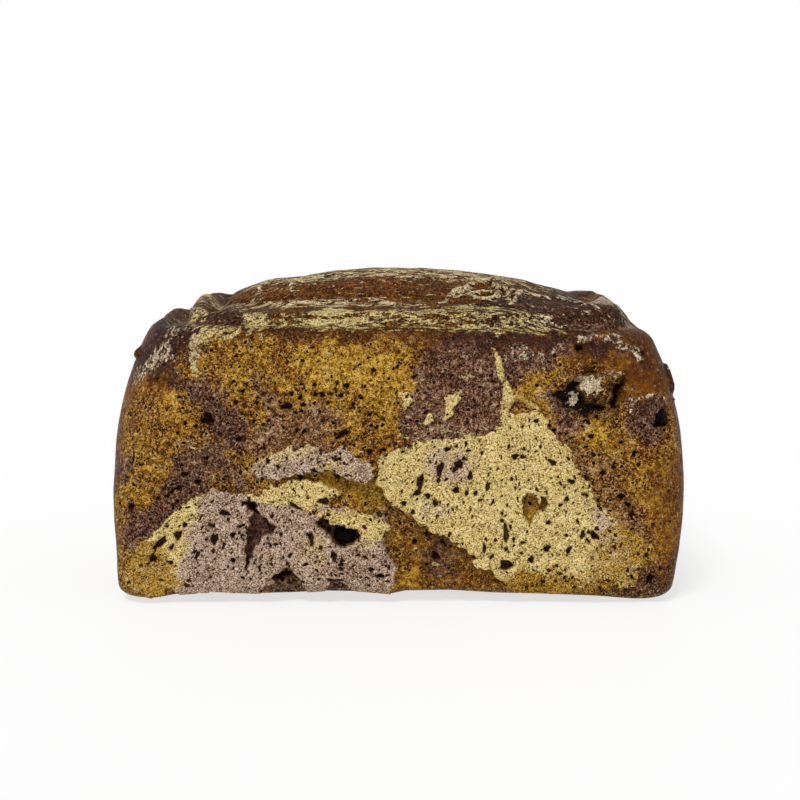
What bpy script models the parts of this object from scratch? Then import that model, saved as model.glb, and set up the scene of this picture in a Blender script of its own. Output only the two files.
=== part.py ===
# Tin loaf of two marbled doughs, one yellow and one purple, baked in an open tin, with raisins.
#
# It stands on its flat base, with its length along X and the face that tore most towards -Y.
# The origin is the middle of the base. Sizes are in millimetres and turn to metres where a mesh
# is made. A place on the long walls is given by s and z: s runs along the wall from the middle,
# to the right and round the corner, and z is the height. A third number stands off the wall.

import math

import bmesh
import bpy
import numpy as np

METRE = 0.001

# The body, as the tin shaped it
LENGTH = 195.0
DEPTH = 106.0
SHOULDER = 93.6
SHOULDER_FALL = 1.5
FOOT_ROUND = 5.0
SHOULDER_ROUND = 4.0
FRONT_SPRING = 3.2

# Upright corners: the left ones sagged more than the right ones
CORNER_FOOT = {-1: 8.0, 1: 7.0}
CORNER_TOP = {-1: 27.0, 1: 15.0}

# How far the ends and sides lean in below and above the widest height
END_FOOT = 3.2
END_TOP = {-1: 13.0, 1: 12.5}
END_BEND = {-1: 2.1, 1: 2.6}
SIDE_FOOT = 2.0
SIDE_TOP = 4.0
WIDEST = 40.0

# The risen top: a rim round the edge, then a dome
RIM_RISE = 6.0
DOME_RISE = 11.6
DOME_MIDDLE = -2.0
DOME_REACH = {-1: 66.0, 1: 74.0}
DOME_HALF_WIDTH = 38.0

# The dried skin that tore as the dough rose, and what lies under it
SKIN_LIFT = 1.1
SKIN_ROOT = -3.4
TEAR_DEPTH = -2.2
GASH_DEPTH = -2.4
TORN_STEP = 3.3
TORN_SWAY = 0.45
WALL_GRID = 14.0

# Raisins, and the room that the dough leaves round each
RAISIN_GAP = 0.6
RAISIN_WRINKLE = 0.10

# Body mesh: cells along the length, across the depth, and up the wall
COLUMNS = 28
ROWS = 12
FOOT_STEPS = 3
WALL_STEPS = 9
SHOULDER_STEPS = 3


def smooth(low, high, t):
    """Ease from 0 to 1 as t goes from low to high."""
    t = np.clip((t - low) / (high - low), 0.0, 1.0)
    return t * t * (3.0 - 2.0 * t)


def end_inset(z, side):
    """How far the end on that side leans in from half the length, at height z."""
    foot = END_FOOT * (1.0 - np.clip(z / WIDEST, 0.0, 1.0)) ** 1.5
    rise = np.clip((z - WIDEST) / (SHOULDER - WIDEST), 0.0, 1.0)
    return foot + END_TOP[side] * rise ** END_BEND[side]


def side_inset(z):
    """How far the long walls lean in from half the depth, at height z."""
    foot = SIDE_FOOT * (1.0 - np.clip(z / WIDEST, 0.0, 1.0)) ** 1.8
    rise = np.clip((z - WIDEST) / (SHOULDER - WIDEST), 0.0, 1.0)
    return foot + SIDE_TOP * rise ** 2.0


def corner_radius(z, side):
    """Radius of the upright corners on that side, at height z."""
    return CORNER_FOOT[side] + (CORNER_TOP[side] - CORNER_FOOT[side]) * smooth(0.0, 80.0, z)


def wall_point(s, z, out, face=-1):
    """Point on the front wall (face -1) or back wall (face 1), standing out from it."""
    side = 1 if s >= 0.0 else -1
    half_length = LENGTH / 2 - end_inset(z, side)
    half_depth = DEPTH / 2 - side_inset(z) - SKIN_LIFT
    radius = corner_radius(z, side)
    straight = half_length - radius
    turn = np.clip((abs(s) - straight) / radius, 0.0, math.pi / 2)
    beyond = max(abs(s) - straight - radius * math.pi / 2, 0.0)
    reach = radius + out
    x = side * (min(abs(s), straight) + reach * math.sin(turn))
    y = face * (half_depth - radius + reach * math.cos(turn) - beyond)
    return x, y, z


def top_rise(x, y):
    """Height of the risen top above its shoulder."""
    ends = np.clip((LENGTH / 2 - 13.0 - abs(x)) / (12.0 if x < 0 else 8.0), 0.0, 1.0)
    sides = np.clip((DEPTH / 2 - 4.0 - abs(y)) / 17.0, 0.0, 1.0)
    rim = (RIM_RISE + x / 55.0) * (1.0 - (1.0 - ends) ** 2) * (1.0 - (1.0 - sides) ** 2)
    reach = DOME_REACH[-1 if x < DOME_MIDDLE else 1]
    along = max(1.0 - (abs(x - DOME_MIDDLE) / reach) ** 1.8, 0.0)
    across = 0.5 * (1.0 + math.cos(math.pi * min(abs(y) / DOME_HALF_WIDTH, 1.0)))
    knob = 2.2 * math.exp(-((x + 68.0) / 5.5) ** 2 - ((y + 4.0) / 9.0) ** 2)
    return rim + DOME_RISE * along * across + knob


def shoulder_height(x):
    """The shoulder drops a little from left to right."""
    return SHOULDER - SHOULDER_FALL * x / 90.0


def body_point(u, v, w):
    """Carry a point of the box -1..1, -1..1, 0..1 to the loaf's skin."""
    side = 1 if u >= 0.0 else -1
    ring = max(abs(u), abs(v), 1e-9)
    z = w * SHOULDER
    inset = 0.0
    if z < FOOT_ROUND:
        turn = (1.0 - z / FOOT_ROUND) * math.pi / 2
        z = FOOT_ROUND * (1.0 - math.sin(turn))
        inset = FOOT_ROUND * (1.0 - math.cos(turn))
    elif z > SHOULDER - SHOULDER_ROUND:
        turn = (z - SHOULDER + SHOULDER_ROUND) / SHOULDER_ROUND * math.pi / 2
        z = SHOULDER - SHOULDER_ROUND * (1.0 - math.sin(turn))
        inset = SHOULDER_ROUND * (1.0 - math.cos(turn))
    half_length = LENGTH / 2 - end_inset(z, side) - inset
    half_depth = DEPTH / 2 - side_inset(z) - inset - SKIN_LIFT
    radius = corner_radius(z, side)
    x = u / ring * half_length
    y = v / ring * half_depth
    core_x = np.clip(x, radius - half_length, half_length - radius)
    core_y = np.clip(y, radius - half_depth, half_depth - radius)
    away = math.hypot(x - core_x, y - core_y)
    if away > 0.0:
        x = core_x + (x - core_x) * radius / away
        y = core_y + (y - core_y) * radius / away
    x *= ring
    y *= ring
    z *= 1.0 + (shoulder_height(x) / SHOULDER - 1.0) * smooth(20.0, SHOULDER, z)
    if w == 1.0:
        z += top_rise(x, y) * smooth(0.0, 0.08, 1.0 - ring)
    middle = 1.0 - smooth(0.35, 0.85, abs(x) / (LENGTH / 2))
    spring = FRONT_SPRING * middle * smooth(28.0 - DEPTH / 2, 2.0 - DEPTH / 2, y)
    return x, y, z + spring * (1.0 - smooth(0.0, 14.0, z))


def box_mesh(columns, rows, levels):
    """A box in one skin of quads, -1..1 along u and v, and at the given levels of w."""
    mesh = bmesh.new()
    corners = {}

    def corner(i, j, k):
        if (i, j, k) not in corners:
            place = (2.0 * i / columns - 1.0, 2.0 * j / rows - 1.0, levels[k])
            corners[i, j, k] = mesh.verts.new(place)
        return corners[i, j, k]

    top = len(levels) - 1
    for i in range(columns):
        for k in range(top):
            for j in (0, rows):
                mesh.faces.new((corner(i, j, k), corner(i + 1, j, k),
                                corner(i + 1, j, k + 1), corner(i, j, k + 1)))
    for j in range(rows):
        for k in range(top):
            for i in (0, columns):
                mesh.faces.new((corner(i, j, k), corner(i, j + 1, k),
                                corner(i, j + 1, k + 1), corner(i, j, k + 1)))
    for i in range(columns):
        for j in range(rows):
            for k in (0, top):
                mesh.faces.new((corner(i, j, k), corner(i + 1, j, k),
                                corner(i + 1, j + 1, k), corner(i, j + 1, k)))
    return mesh


def torn(outline, seed):
    """Break an outline's edges into short steps that sway from side to side, as torn dough does."""
    draw = np.random.default_rng(seed)
    points = np.array(outline, float)
    ragged = []
    for here, there in zip(points, np.roll(points, -1, axis=0)):
        run = there - here
        steps = max(int(round(np.linalg.norm(run) / TORN_STEP)), 1)
        across = np.array((-run[1], run[0])) / max(np.linalg.norm(run), 1e-6)
        for step in range(steps):
            sway = draw.uniform(-TORN_SWAY, TORN_SWAY) if step else 0.0
            ragged.append(here + run * step / steps + across * sway)
    return ragged


def add_slab(mesh, outline, inner, outer, face=-1):
    """Add a slab that follows the wall, from inner to outer off it, within an outline in s and z."""
    flat = bmesh.new()
    flat.faces.new([flat.verts.new((s, z, 0.0)) for s, z in outline])
    for axis in (0, 1):
        values = [point[axis] for point in outline]
        first = math.ceil(min(values) / WALL_GRID) * WALL_GRID
        for cut in np.arange(first, max(values), WALL_GRID):
            place = [0.0, 0.0, 0.0]
            normal = [0.0, 0.0, 0.0]
            place[axis] = cut + 0.13
            normal[axis] = 1.0
            bmesh.ops.bisect_plane(flat, geom=flat.verts[:] + flat.edges[:] + flat.faces[:],
                                   plane_co=place, plane_no=normal, dist=1e-5)
    raised = bmesh.ops.extrude_face_region(flat, geom=flat.faces[:])["geom"]
    outside = {item for item in raised if isinstance(item, bmesh.types.BMVert)}
    for vert in flat.verts:
        out = outer if vert in outside else inner
        vert.co = wall_point(vert.co.x, vert.co.y, out, face)
    join(mesh, flat)


def add_ball(mesh, place, radii, tilt=0.0, face=-1, detail=2, wrinkle=0.0):
    """Add an ellipsoid at s, z and out on the wall, its radii along the wall, up it and out."""
    ball = bmesh.new()
    bmesh.ops.create_icosphere(ball, subdivisions=detail, radius=1.0)
    cosine = math.cos(math.radians(tilt))
    sine = math.sin(math.radians(tilt))
    for vert in ball.verts:
        a, b, c = vert.co
        fold = 0.5 + 0.5 * math.cos(6.0 * math.atan2(b, a) + 3.0 * math.sin(4.0 * c))
        size = 1.0 - wrinkle * fold
        along = a * radii[0] * size
        up = b * radii[1] * size
        s = place[0] + along * cosine - up * sine
        z = place[1] + along * sine + up * cosine
        vert.co = wall_point(s, z, place[2] + c * radii[2] * size, face)
    join(mesh, ball)


def add_fold(mesh, route, radius, closed=False, sides=8):
    """Add a rope of dough lying half sunk along a route of x, y points on the risen top."""
    centres = [np.array((x, y, shoulder_height(x) + top_rise(x, y))) for x, y in route]
    count = len(centres)
    rope = bmesh.new()
    rings = []
    for index, centre in enumerate(centres):
        ahead = centres[(index + 1) % count] if closed else centres[min(index + 1, count - 1)]
        behind = centres[index - 1] if closed or index else centres[0]
        heading = (ahead - behind) / np.linalg.norm(ahead - behind)
        across = np.cross(heading, (0.0, 0.0, 1.0))
        across /= np.linalg.norm(across)
        up = np.cross(across, heading)
        ends = 1.0 if closed else 1.0 - 0.55 * abs(2.0 * index / (count - 1) - 1.0) ** 3
        ring = []
        for side in range(sides):
            turn = 2.0 * math.pi * side / sides
            offset = radius * ends * (math.cos(turn) * across + math.sin(turn) * up)
            ring.append(rope.verts.new(centre + offset))
        rings.append(ring)
    for index in range(count if closed else count - 1):
        here = rings[index]
        there = rings[(index + 1) % count]
        for side in range(sides):
            after = (side + 1) % sides
            rope.faces.new((here[side], here[after], there[after], there[side]))
    if not closed:
        rope.faces.new(rings[0])
        rope.faces.new(rings[-1])
    join(mesh, rope)


def join(mesh, piece):
    """Turn a piece's faces outwards and move them into a mesh that holds several pieces."""
    bmesh.ops.recalc_face_normals(piece, faces=piece.faces[:])
    if piece.calc_volume(signed=True) < 0.0:
        bmesh.ops.reverse_faces(piece, faces=piece.faces[:])
    copy = {vert: mesh.verts.new(vert.co) for vert in piece.verts}
    for face in piece.faces:
        mesh.faces.new([copy[vert] for vert in face.verts])
    piece.free()


def make_object(name, mesh):
    """Turn a mesh in millimetres into an object in metres."""
    bmesh.ops.scale(mesh, vec=(METRE, METRE, METRE), verts=mesh.verts[:])
    bmesh.ops.triangulate(mesh, faces=mesh.faces[:])
    data = bpy.data.meshes.new(name)
    mesh.to_mesh(data)
    mesh.free()
    thing = bpy.data.objects.new(name, data)
    bpy.context.scene.collection.objects.link(thing)
    return thing


def make_tool(name, mesh):
    """A shape that only cuts or builds up another: it isn't part of the model itself."""
    tool = make_object(name, mesh)
    tool.hide_render = True
    tool.display_type = 'WIRE'
    return tool


def use_tool(body, tool, operation):
    """Cut a tool from the body, or join it on."""
    step = body.modifiers.new(tool.name, 'BOOLEAN')
    step.operation = operation
    step.object = tool


def give_material(thing, name, colour, roughness):
    """One plain material with a Principled shader."""
    material = bpy.data.materials.new(name)
    material.use_nodes = True
    shader = material.node_tree.nodes["Principled BSDF"]
    shader.inputs["Base Color"].default_value = (*colour, 1.0)
    shader.inputs["Roughness"].default_value = roughness
    shader.inputs["Metallic"].default_value = 0.0
    thing.data.materials.append(material)


for thing in list(bpy.data.objects):
    bpy.data.objects.remove(thing, do_unlink=True)

# Where the skin pulled apart, the dough under it stretched and stayed lower
CENTRE_TEAR = [(-42, 47), (-30, 48), (-12, 46), (-2, 40), (4, 30), (14, 27), (30, 14), (42, 7),
               (30, 6), (4, 5.5), (-6, 9), (-8, 20), (-12, 34), (-24, 40), (-36, 41)]
CRATER = (66.0, 72.5, 0.0)
CRATER_RADII = (10.5, 6.8, 4.6)

# Pale dry skin: the large cream patch, the mauve strip and the low patch with its lobe
CREAM_PATCH = [(-7, 46), (-6, 50), (1, 54), (7, 56.3), (18, 56.2), (29, 58.6), (35.5, 61.5), (38, 65.3),
               (46.5, 66), (52, 61.5), (54, 57), (59, 53.5), (59, 49.5), (63.5, 43), (68, 34), (74.5, 28.5),
               (79, 23), (78, 17), (72, 9), (54, 5.5), (36, 6), (31.5, 11), (27.5, 12.6), (22, 18.5),
               (15, 23.5), (9, 27), (6.5, 26), (5, 30.5), (-1, 34.5), (-4, 37.5), (-6.3, 42)]
MAUVE_STRIP = [(-47.5, 45), (-47, 48.5), (-41, 51.5), (-36, 53.6), (-28, 54.5), (-18, 54), (-10, 49),
               (-7.6, 47.5), (-8, 43.5), (-10.5, 41.5), (-16.5, 43.5), (-23.5, 46.2), (-30, 44.6),
               (-38.5, 44), (-45.5, 42.5)]
LOW_PATCH = [(-62, 40), (-70, 35.5), (-77.5, 29.5), (-85, 22), (-91, 15), (-92.5, 8), (-80, 6), (-76, 9),
             (-72.5, 6), (-46, 5.6), (-41, 9.5), (-35, 13.2), (-32, 6.5), (-1.5, 5.6), (0, 12), (-3, 19.5),
             (-5, 22.5), (-2, 26.5), (-4.5, 32), (-10, 31), (-17.5, 33.2), (-21.2, 33), (-19, 39),
             (-27, 42.5), (-37, 43.2), (-45, 38.2), (-56, 38.6)]
STRAND = [(33.5, 87), (35.3, 85.5), (37, 78), (38.6, 73), (42, 70.4), (47, 68.9), (46.6, 67.6), (40.5, 68.4),
          (37.5, 67.4), (35.2, 68.2), (36.2, 74), (34.8, 81)]
FLAKES = [[(1, 72), (4.5, 72.5), (5.5, 69), (2.8, 66.5), (1.4, 68.5)],
          [(21.5, 73.5), (22.5, 71), (18.5, 67), (16, 62), (14.6, 64), (17, 70)],
          [(7.5, 61.2), (12.5, 62), (11.5, 65.5)]]

# The hidden wall tore in fewer places
BACK_SKINS = [[(-70, 22), (-61, 34), (-48, 40), (-30, 47), (-12, 44), (2, 50), (14, 45), (10, 36), (19, 27),
               (8, 17), (-10, 13), (-30, 7), (-52, 6), (-68, 10)],
              [(34, 52), (47, 60), (62, 57), (71, 44), (66, 33), (54, 37), (44, 34), (37, 42)]]
BACK_TEARS = [[(6, 48), (18, 49), (40, 44), (40, 30), (24, 18), (12, 20), (8, 34)]]

# Open gashes through the skin
GASHES = [[(-50, 37.5), (-47.6, 33.5), (-46.6, 31.3), (-43.5, 28.4), (-41, 29), (-43.5, 25.5), (-48.5, 18.5),
           (-51.5, 15), (-50.5, 21), (-50, 26), (-48.3, 30), (-50.6, 34)],
          [(-27, 29.5), (-24.3, 30.2), (-22, 28.2), (-15.5, 27), (-12.6, 24.5), (-13.5, 21.5), (-17, 20),
           (-21.5, 22), (-25, 26.5)],
          [(41.8, 38), (46.8, 38.2), (50.6, 35), (50, 33.4), (45.6, 33.2), (44.4, 30.5), (42, 34)]]

# Bubbles that opened at the wall: s, z, width, height, tilt
BUBBLES = [
    (8.0, 42.3, 2.8, 6.0, -8), (14.6, 46.5, 2.6, 6.2, -14), (20.8, 47.6, 5.2, 3.0, 38),
    (7.0, 37.4, 3.4, 2.6, 20), (39.6, 51.0, 4.2, 2.4, -28), (52.0, 49.2, 4.0, 2.2, -34),
    (58.5, 42.6, 3.2, 2.4, -20), (36.8, 24.8, 2.4, 8.0, 4), (37.0, 13.6, 5.0, 4.2, 0),
    (50.6, 19.4, 2.6, 3.0, -30), (66.6, 24.0, 4.4, 2.6, -42), (-57.6, 31.6, 4.4, 2.6, -12),
    (-61.2, 22.6, 2.8, 4.4, -20), (-73.4, 24.0, 2.8, 3.6, -20), (-78.8, 21.2, 5.6, 2.8, 42),
    (-82.0, 16.0, 2.8, 3.2, 0), (-34.0, 34.2, 5.6, 2.2, -32), (-24.2, 35.8, 4.4, 2.8, -10),
    (-28.6, 22.8, 2.4, 5.6, 6), (-63.0, 63.0, 4.2, 4.2, 0), (-90.0, 49.6, 2.2, 5.2, 0),
    (-36.6, 67.4, 5.0, 2.8, 10), (-18.0, 58.0, 5.2, 2.8, 36), (75.2, 37.4, 3.0, 2.6, -30)]
BACK_BUBBLES = [
    (-52.0, 24.0, 4.6, 2.6, 24), (-36.0, 33.0, 2.6, 5.0, -12), (-4.0, 36.0, 5.0, 2.6, -18),
    (52.0, 48.0, 3.8, 2.6, 30), (-66.0, 62.0, 3.6, 3.0, 0), (30.0, 74.0, 3.0, 3.4, 0)]

RAISINS = {
    "raisin_left": {"place": (-17.4, 23.8, -3.1), "radii": (4.1, 2.9, 2.9), "tilt": -22.0},
    "raisin_right": {"place": (89.4, 63.8, -1.7), "radii": (3.0, 2.6, 2.6), "tilt": 35.0},
}

# The baked body, mapped from a box, with closer rows round the foot and the shoulder
foot = [FOOT_ROUND / SHOULDER * step / FOOT_STEPS for step in range(FOOT_STEPS)]
shoulder_start = 1.0 - SHOULDER_ROUND / SHOULDER
wall = list(np.linspace(FOOT_ROUND / SHOULDER, shoulder_start, WALL_STEPS + 1))
shoulder = [1.0 - (1.0 - shoulder_start) * step / SHOULDER_STEPS for step in range(SHOULDER_STEPS)]
body_mesh = box_mesh(COLUMNS, ROWS, foot + wall + sorted(shoulder))
for vert in body_mesh.verts:
    vert.co = body_point(*vert.co)
bmesh.ops.recalc_face_normals(body_mesh, faces=body_mesh.faces[:])
loaf = make_object("loaf", body_mesh)
give_material(loaf, "browned crust", (0.30, 0.15, 0.035), 0.55)

# Low places go first: the torn dough, and the crater round a lump
low_mesh = bmesh.new()
add_slab(low_mesh, torn(CENTRE_TEAR, 11), TEAR_DEPTH, 4.0)
for outline in BACK_TEARS:
    add_slab(low_mesh, torn(outline, 12), TEAR_DEPTH, 4.0, face=1)
add_ball(low_mesh, CRATER, CRATER_RADII, detail=3)
use_tool(loaf, make_tool("tears", low_mesh), 'DIFFERENCE')

# Then what stands proud: skins, strands and flakes, the lump, the corner nubs and the top's folds
high_mesh = bmesh.new()
for seed, outline in enumerate([CREAM_PATCH, MAUVE_STRIP, LOW_PATCH, STRAND] + FLAKES):
    add_slab(high_mesh, torn(outline, seed), SKIN_ROOT, SKIN_LIFT)
for seed, outline in enumerate(BACK_SKINS):
    add_slab(high_mesh, torn(outline, 20 + seed), SKIN_ROOT, SKIN_LIFT, face=1)
add_ball(high_mesh, (67.2, 73.2, -2.6), (5.2, 4.2, 3.8), tilt=-12.0)
add_ball(high_mesh, (-98.0, 84.5, 0.2), (2.4, 2.0, 1.3))
add_ball(high_mesh, (99.5, 74.0, 0.2), (3.0, 3.4, 1.4))
add_fold(high_mesh, [(15, -38), (20, -33), (26, -27), (30, -21), (31.5, -18)], 1.7)
curl = [(36.0 + 3.4 * math.cos(turn), -13.0 + 3.6 * math.sin(turn))
        for turn in np.linspace(0.0, 2.0 * math.pi, 10, endpoint=False)]
add_fold(high_mesh, curl, 1.3, closed=True)
add_fold(high_mesh, [(44, -18), (50, -12), (55, -4), (57, 5), (55, 14)], 1.6)
add_fold(high_mesh, [(-52, -26), (-40, -28), (-28, -27), (-16, -25), (-6, -26)], 1.5)
use_tool(loaf, make_tool("skins", high_mesh), 'UNION')

# Then the gashes and bubbles, which pass through the skins
hollow_mesh = bmesh.new()
for seed, outline in enumerate(GASHES):
    add_slab(hollow_mesh, torn(outline, 30 + seed), GASH_DEPTH, 4.0)
for face, bubbles in ((-1, BUBBLES), (1, BACK_BUBBLES)):
    for s, z, width, height, tilt in bubbles:
        depth = 0.9 + 0.5 * min(width, height)
        add_ball(hollow_mesh, (s, z, SKIN_LIFT / 2), (width / 2, height / 2, depth), tilt, face)
use_tool(loaf, make_tool("hollows", hollow_mesh), 'DIFFERENCE')

# Each raisin sits in a pocket of its own shape
pocket_mesh = bmesh.new()
for name, raisin in RAISINS.items():
    room = [radius + RAISIN_GAP for radius in raisin["radii"]]
    add_ball(pocket_mesh, raisin["place"], room, raisin["tilt"])
    raisin_mesh = bmesh.new()
    add_ball(raisin_mesh, raisin["place"], raisin["radii"], raisin["tilt"], detail=3, wrinkle=RAISIN_WRINKLE)
    body = make_object(name, raisin_mesh)
    body.data.shade_smooth()
    give_material(body, name.replace("_", " "), (0.016, 0.010, 0.012), 0.38)
use_tool(loaf, make_tool("pockets", pocket_mesh), 'DIFFERENCE')
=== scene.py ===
import itertools
import math

import bmesh
import bpy
import numpy as np
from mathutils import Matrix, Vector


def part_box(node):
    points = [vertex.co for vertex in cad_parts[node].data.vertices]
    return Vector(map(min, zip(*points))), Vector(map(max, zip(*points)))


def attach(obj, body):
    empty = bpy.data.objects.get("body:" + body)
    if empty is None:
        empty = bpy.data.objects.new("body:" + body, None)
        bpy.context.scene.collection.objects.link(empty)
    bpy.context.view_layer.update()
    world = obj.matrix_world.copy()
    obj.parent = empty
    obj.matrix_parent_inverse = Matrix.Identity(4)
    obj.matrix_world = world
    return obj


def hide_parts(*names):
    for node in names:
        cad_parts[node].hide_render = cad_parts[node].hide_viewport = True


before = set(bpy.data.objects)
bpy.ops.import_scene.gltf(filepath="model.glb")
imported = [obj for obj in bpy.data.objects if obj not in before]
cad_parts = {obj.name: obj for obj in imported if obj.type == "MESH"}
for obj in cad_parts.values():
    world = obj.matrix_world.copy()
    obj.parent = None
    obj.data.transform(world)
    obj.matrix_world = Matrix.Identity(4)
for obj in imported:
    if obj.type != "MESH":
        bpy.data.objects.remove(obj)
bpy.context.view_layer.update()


# The loaf. One baked body of two marbled doughs, a yellow one and a purple one. It rose in an open
# tin, so its walls are straight and its top is a low dome. As it sprang in the oven its dry floured
# skin tore, and the soft dough under it stretched, glazed and opened its bubbles.

MM = 0.001
TINY = 1e-9
FAR = 1e9

# The loaf's form in mm. Its walls lean in from their widest height to the foot and to the shoulder,
# its corners are rounder higher up, and its shoulder falls to the right. A pair is for the left end
# and the right one.
low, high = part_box("loaf")
LENGTH = (high.x - low.x) / MM
DEPTH = (high.y - low.y) / MM
WIDEST = 40.0
SHOULDER = 93.6
SHOULDER_ROUND = 4.0
FALL = 1.5
FALL_RUN = 90.0
FOOT_ROUND = 5.0
CORNER_FOOT = (8.0, 7.0)
CORNER_TOP = (27.0, 15.0)
CORNER_HEIGHT = 80.0
END_FOOT = 3.2
END_TOP = (13.0, 12.5)
END_BEND = (2.1, 2.6)
SIDE_FOOT = 2.0
SIDE_TOP = 4.0
# How far the base's front edge stands off the floor, along x
SPRING_AT = (-97, -82, -74, -65, -45, -34, -25, -12, -2, 3, 18, 34, 51, 67, 80, 97)
FRONT_SPRING = (1.0, 1.2, 2.8, 3.3, 2.9, 3.3, 3.9, 3.6, 2.7, 3.9, 4.2, 3.1, 2.6, 1.9, 0.8, 0.8)
SPRING_HEIGHT = 14.0
# The risen top: a rim, the dome inside it, and at the left a notch in the rim and a knob. The runs
# are how far in from its ends and its sides the rim takes to rise.
RIM_RISE = 6.0
RIM_END = 84.5
RIM_END_RUN = (12.0, 8.0)
RIM_SIDE = 49.0
RIM_SIDE_RUN = 17.0
NOTCH_AT = -76.5
NOTCH_DEPTH = 2.0
KNOB_AT = (-68.0, -4.0)
KNOB_RISE = 2.2
DOME_RISE = 11.6
DOME_MIDDLE = -2.0
DOME_REACH = (66.0, 74.0)
DOME_HALF_DEPTH = 38.0
# How far the dry skin stands out of the wall, and how far tears, gashes and bursts go in
SKIN_LIFT = 1.1
TEAR_DEPTH = 2.2
GASH_DEPTH = 3.4
OLIVE_DEPTH = 2.6
HOLLOW_DEPTH = 2.0
CRATER_DEPTH = 4.0
LUMP_RISE = 4.9
GROOVE_DEPTH = 2.4
NUB_RISE = 1.5


def smooth(start, end, t):
    """Ease from 0 to 1 as t goes from start to end."""
    t = np.clip((t - start) / (end - start), 0.0, 1.0)
    return t * t * (3.0 - 2.0 * t)


def bell(t, middle, width):
    """1 where t is at the middle, fading to nothing about two widths off."""
    return np.exp(-((t - middle) / width) ** 2)


def rough(points, size, seed=0, octaves=1):
    """Soft noise of about -1 to 1, with bumps of that size in mm, halved for each further octave."""
    total = np.zeros(len(points))
    for octave in range(octaves):
        place = np.asarray(points) / size * 2.0 ** octave
        cell = np.floor(place).astype(np.int64)
        part = place - cell
        part = part * part * (3.0 - 2.0 * part)
        value = np.zeros(len(points))
        for corner in itertools.product((0, 1), repeat=3):
            weight = np.prod(np.where(corner, part, 1.0 - part), axis=1)
            key = (cell + corner) @ np.array((73856093, 19349663, 83492791)) + (seed + octave) * 6364136
            key = (key ^ (key >> 15)) * 2246822519 & 0xFFFFFFFF
            key = (key ^ (key >> 13)) * 3266489917 & 0xFFFFFFFF
            value += weight * ((key >> 8 & 0xFFFF) / 32767.5 - 1.0)
        total += value * 0.5 ** octave
    return total


def loaf_places(box):
    """Carry points of a box the size of the tin to the loaf: places, and s and z along the walls."""
    right = (box[:, 0] >= 0.0).astype(int)
    u = box[:, 0] / (LENGTH / 2)
    v = box[:, 1] / (DEPTH / 2)
    ring = np.maximum(np.maximum(np.abs(u), np.abs(v)), TINY)
    z = box[:, 2].copy()
    turn = np.clip(1.0 - z / FOOT_ROUND, 0.0, 1.0) * math.pi / 2
    inset = FOOT_ROUND * (1.0 - np.cos(turn))
    z = np.where(z < FOOT_ROUND, FOOT_ROUND * (1.0 - np.sin(turn)), z)
    turn = np.clip((box[:, 2] - SHOULDER) / SHOULDER_ROUND + 1.0, 0.0, 1.0) * math.pi / 2
    inset += SHOULDER_ROUND * (1.0 - np.cos(turn))
    z = np.where(turn > 0.0, SHOULDER - SHOULDER_ROUND * (1.0 - np.sin(turn)), z)

    # Half the length and depth at each height, then the corners rounded off
    low_part = 1.0 - np.clip(z / WIDEST, 0.0, 1.0)
    high_part = np.clip((z - WIDEST) / (SHOULDER - WIDEST), 0.0, 1.0)
    lean = END_FOOT * low_part ** 1.5 + np.choose(right, END_TOP) * high_part ** np.choose(right, END_BEND)
    half_length = LENGTH / 2 - lean - inset
    half_depth = DEPTH / 2 - SKIN_LIFT - SIDE_FOOT * low_part ** 1.8 - SIDE_TOP * high_part ** 2.0 - inset
    corner = np.choose(right, CORNER_FOOT)
    corner = corner + (np.choose(right, CORNER_TOP) - corner) * smooth(0.0, CORNER_HEIGHT, z)
    x = u / ring * half_length
    y = v / ring * half_depth
    past_x = np.maximum(np.abs(x) - half_length + corner, 0.0)
    past_y = np.maximum(np.abs(y) - half_depth + corner, 0.0)
    away = np.maximum(np.hypot(past_x, past_y), TINY)
    pull = np.where(away > 1e-6, corner / away, 1.0)
    x = np.sign(x) * (np.abs(x) - past_x + past_x * pull)
    y = np.sign(y) * (np.abs(y) - past_y + past_y * pull)
    turn = np.arctan2(past_x, past_y)
    beyond = np.where(past_x > 1e-6, np.maximum(half_depth - corner - np.abs(y), 0.0), 0.0)
    s = np.where(right, 1.0, -1.0) * (np.minimum(np.abs(x), half_length - corner) + corner * turn + beyond)
    x *= ring
    y *= ring

    # The shoulder falls, the top rises, the base's front edge springs up, and the rim is notched
    wall_z = z
    fall = 1.0 - FALL * x / FALL_RUN / SHOULDER
    z = z * (1.0 + (fall - 1.0) * smooth(20.0, SHOULDER, z))
    top = box[:, 2] > SHOULDER - 0.001
    z += np.where(top, top_rise(x, y) * smooth(0.0, 0.08, 1.0 - ring), 0.0)
    spring = np.interp(x, SPRING_AT, FRONT_SPRING) * smooth(28.0 - DEPTH / 2, 2.0 - DEPTH / 2, y)
    z += spring * (1.0 - smooth(0.0, SPRING_HEIGHT, z))
    z -= NOTCH_DEPTH * bell(x, NOTCH_AT, 4.0) * smooth(84.0, 93.0, z) * smooth(-46.0, -26.0, y)
    return np.stack((x, y, z), 1), s, wall_z


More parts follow.
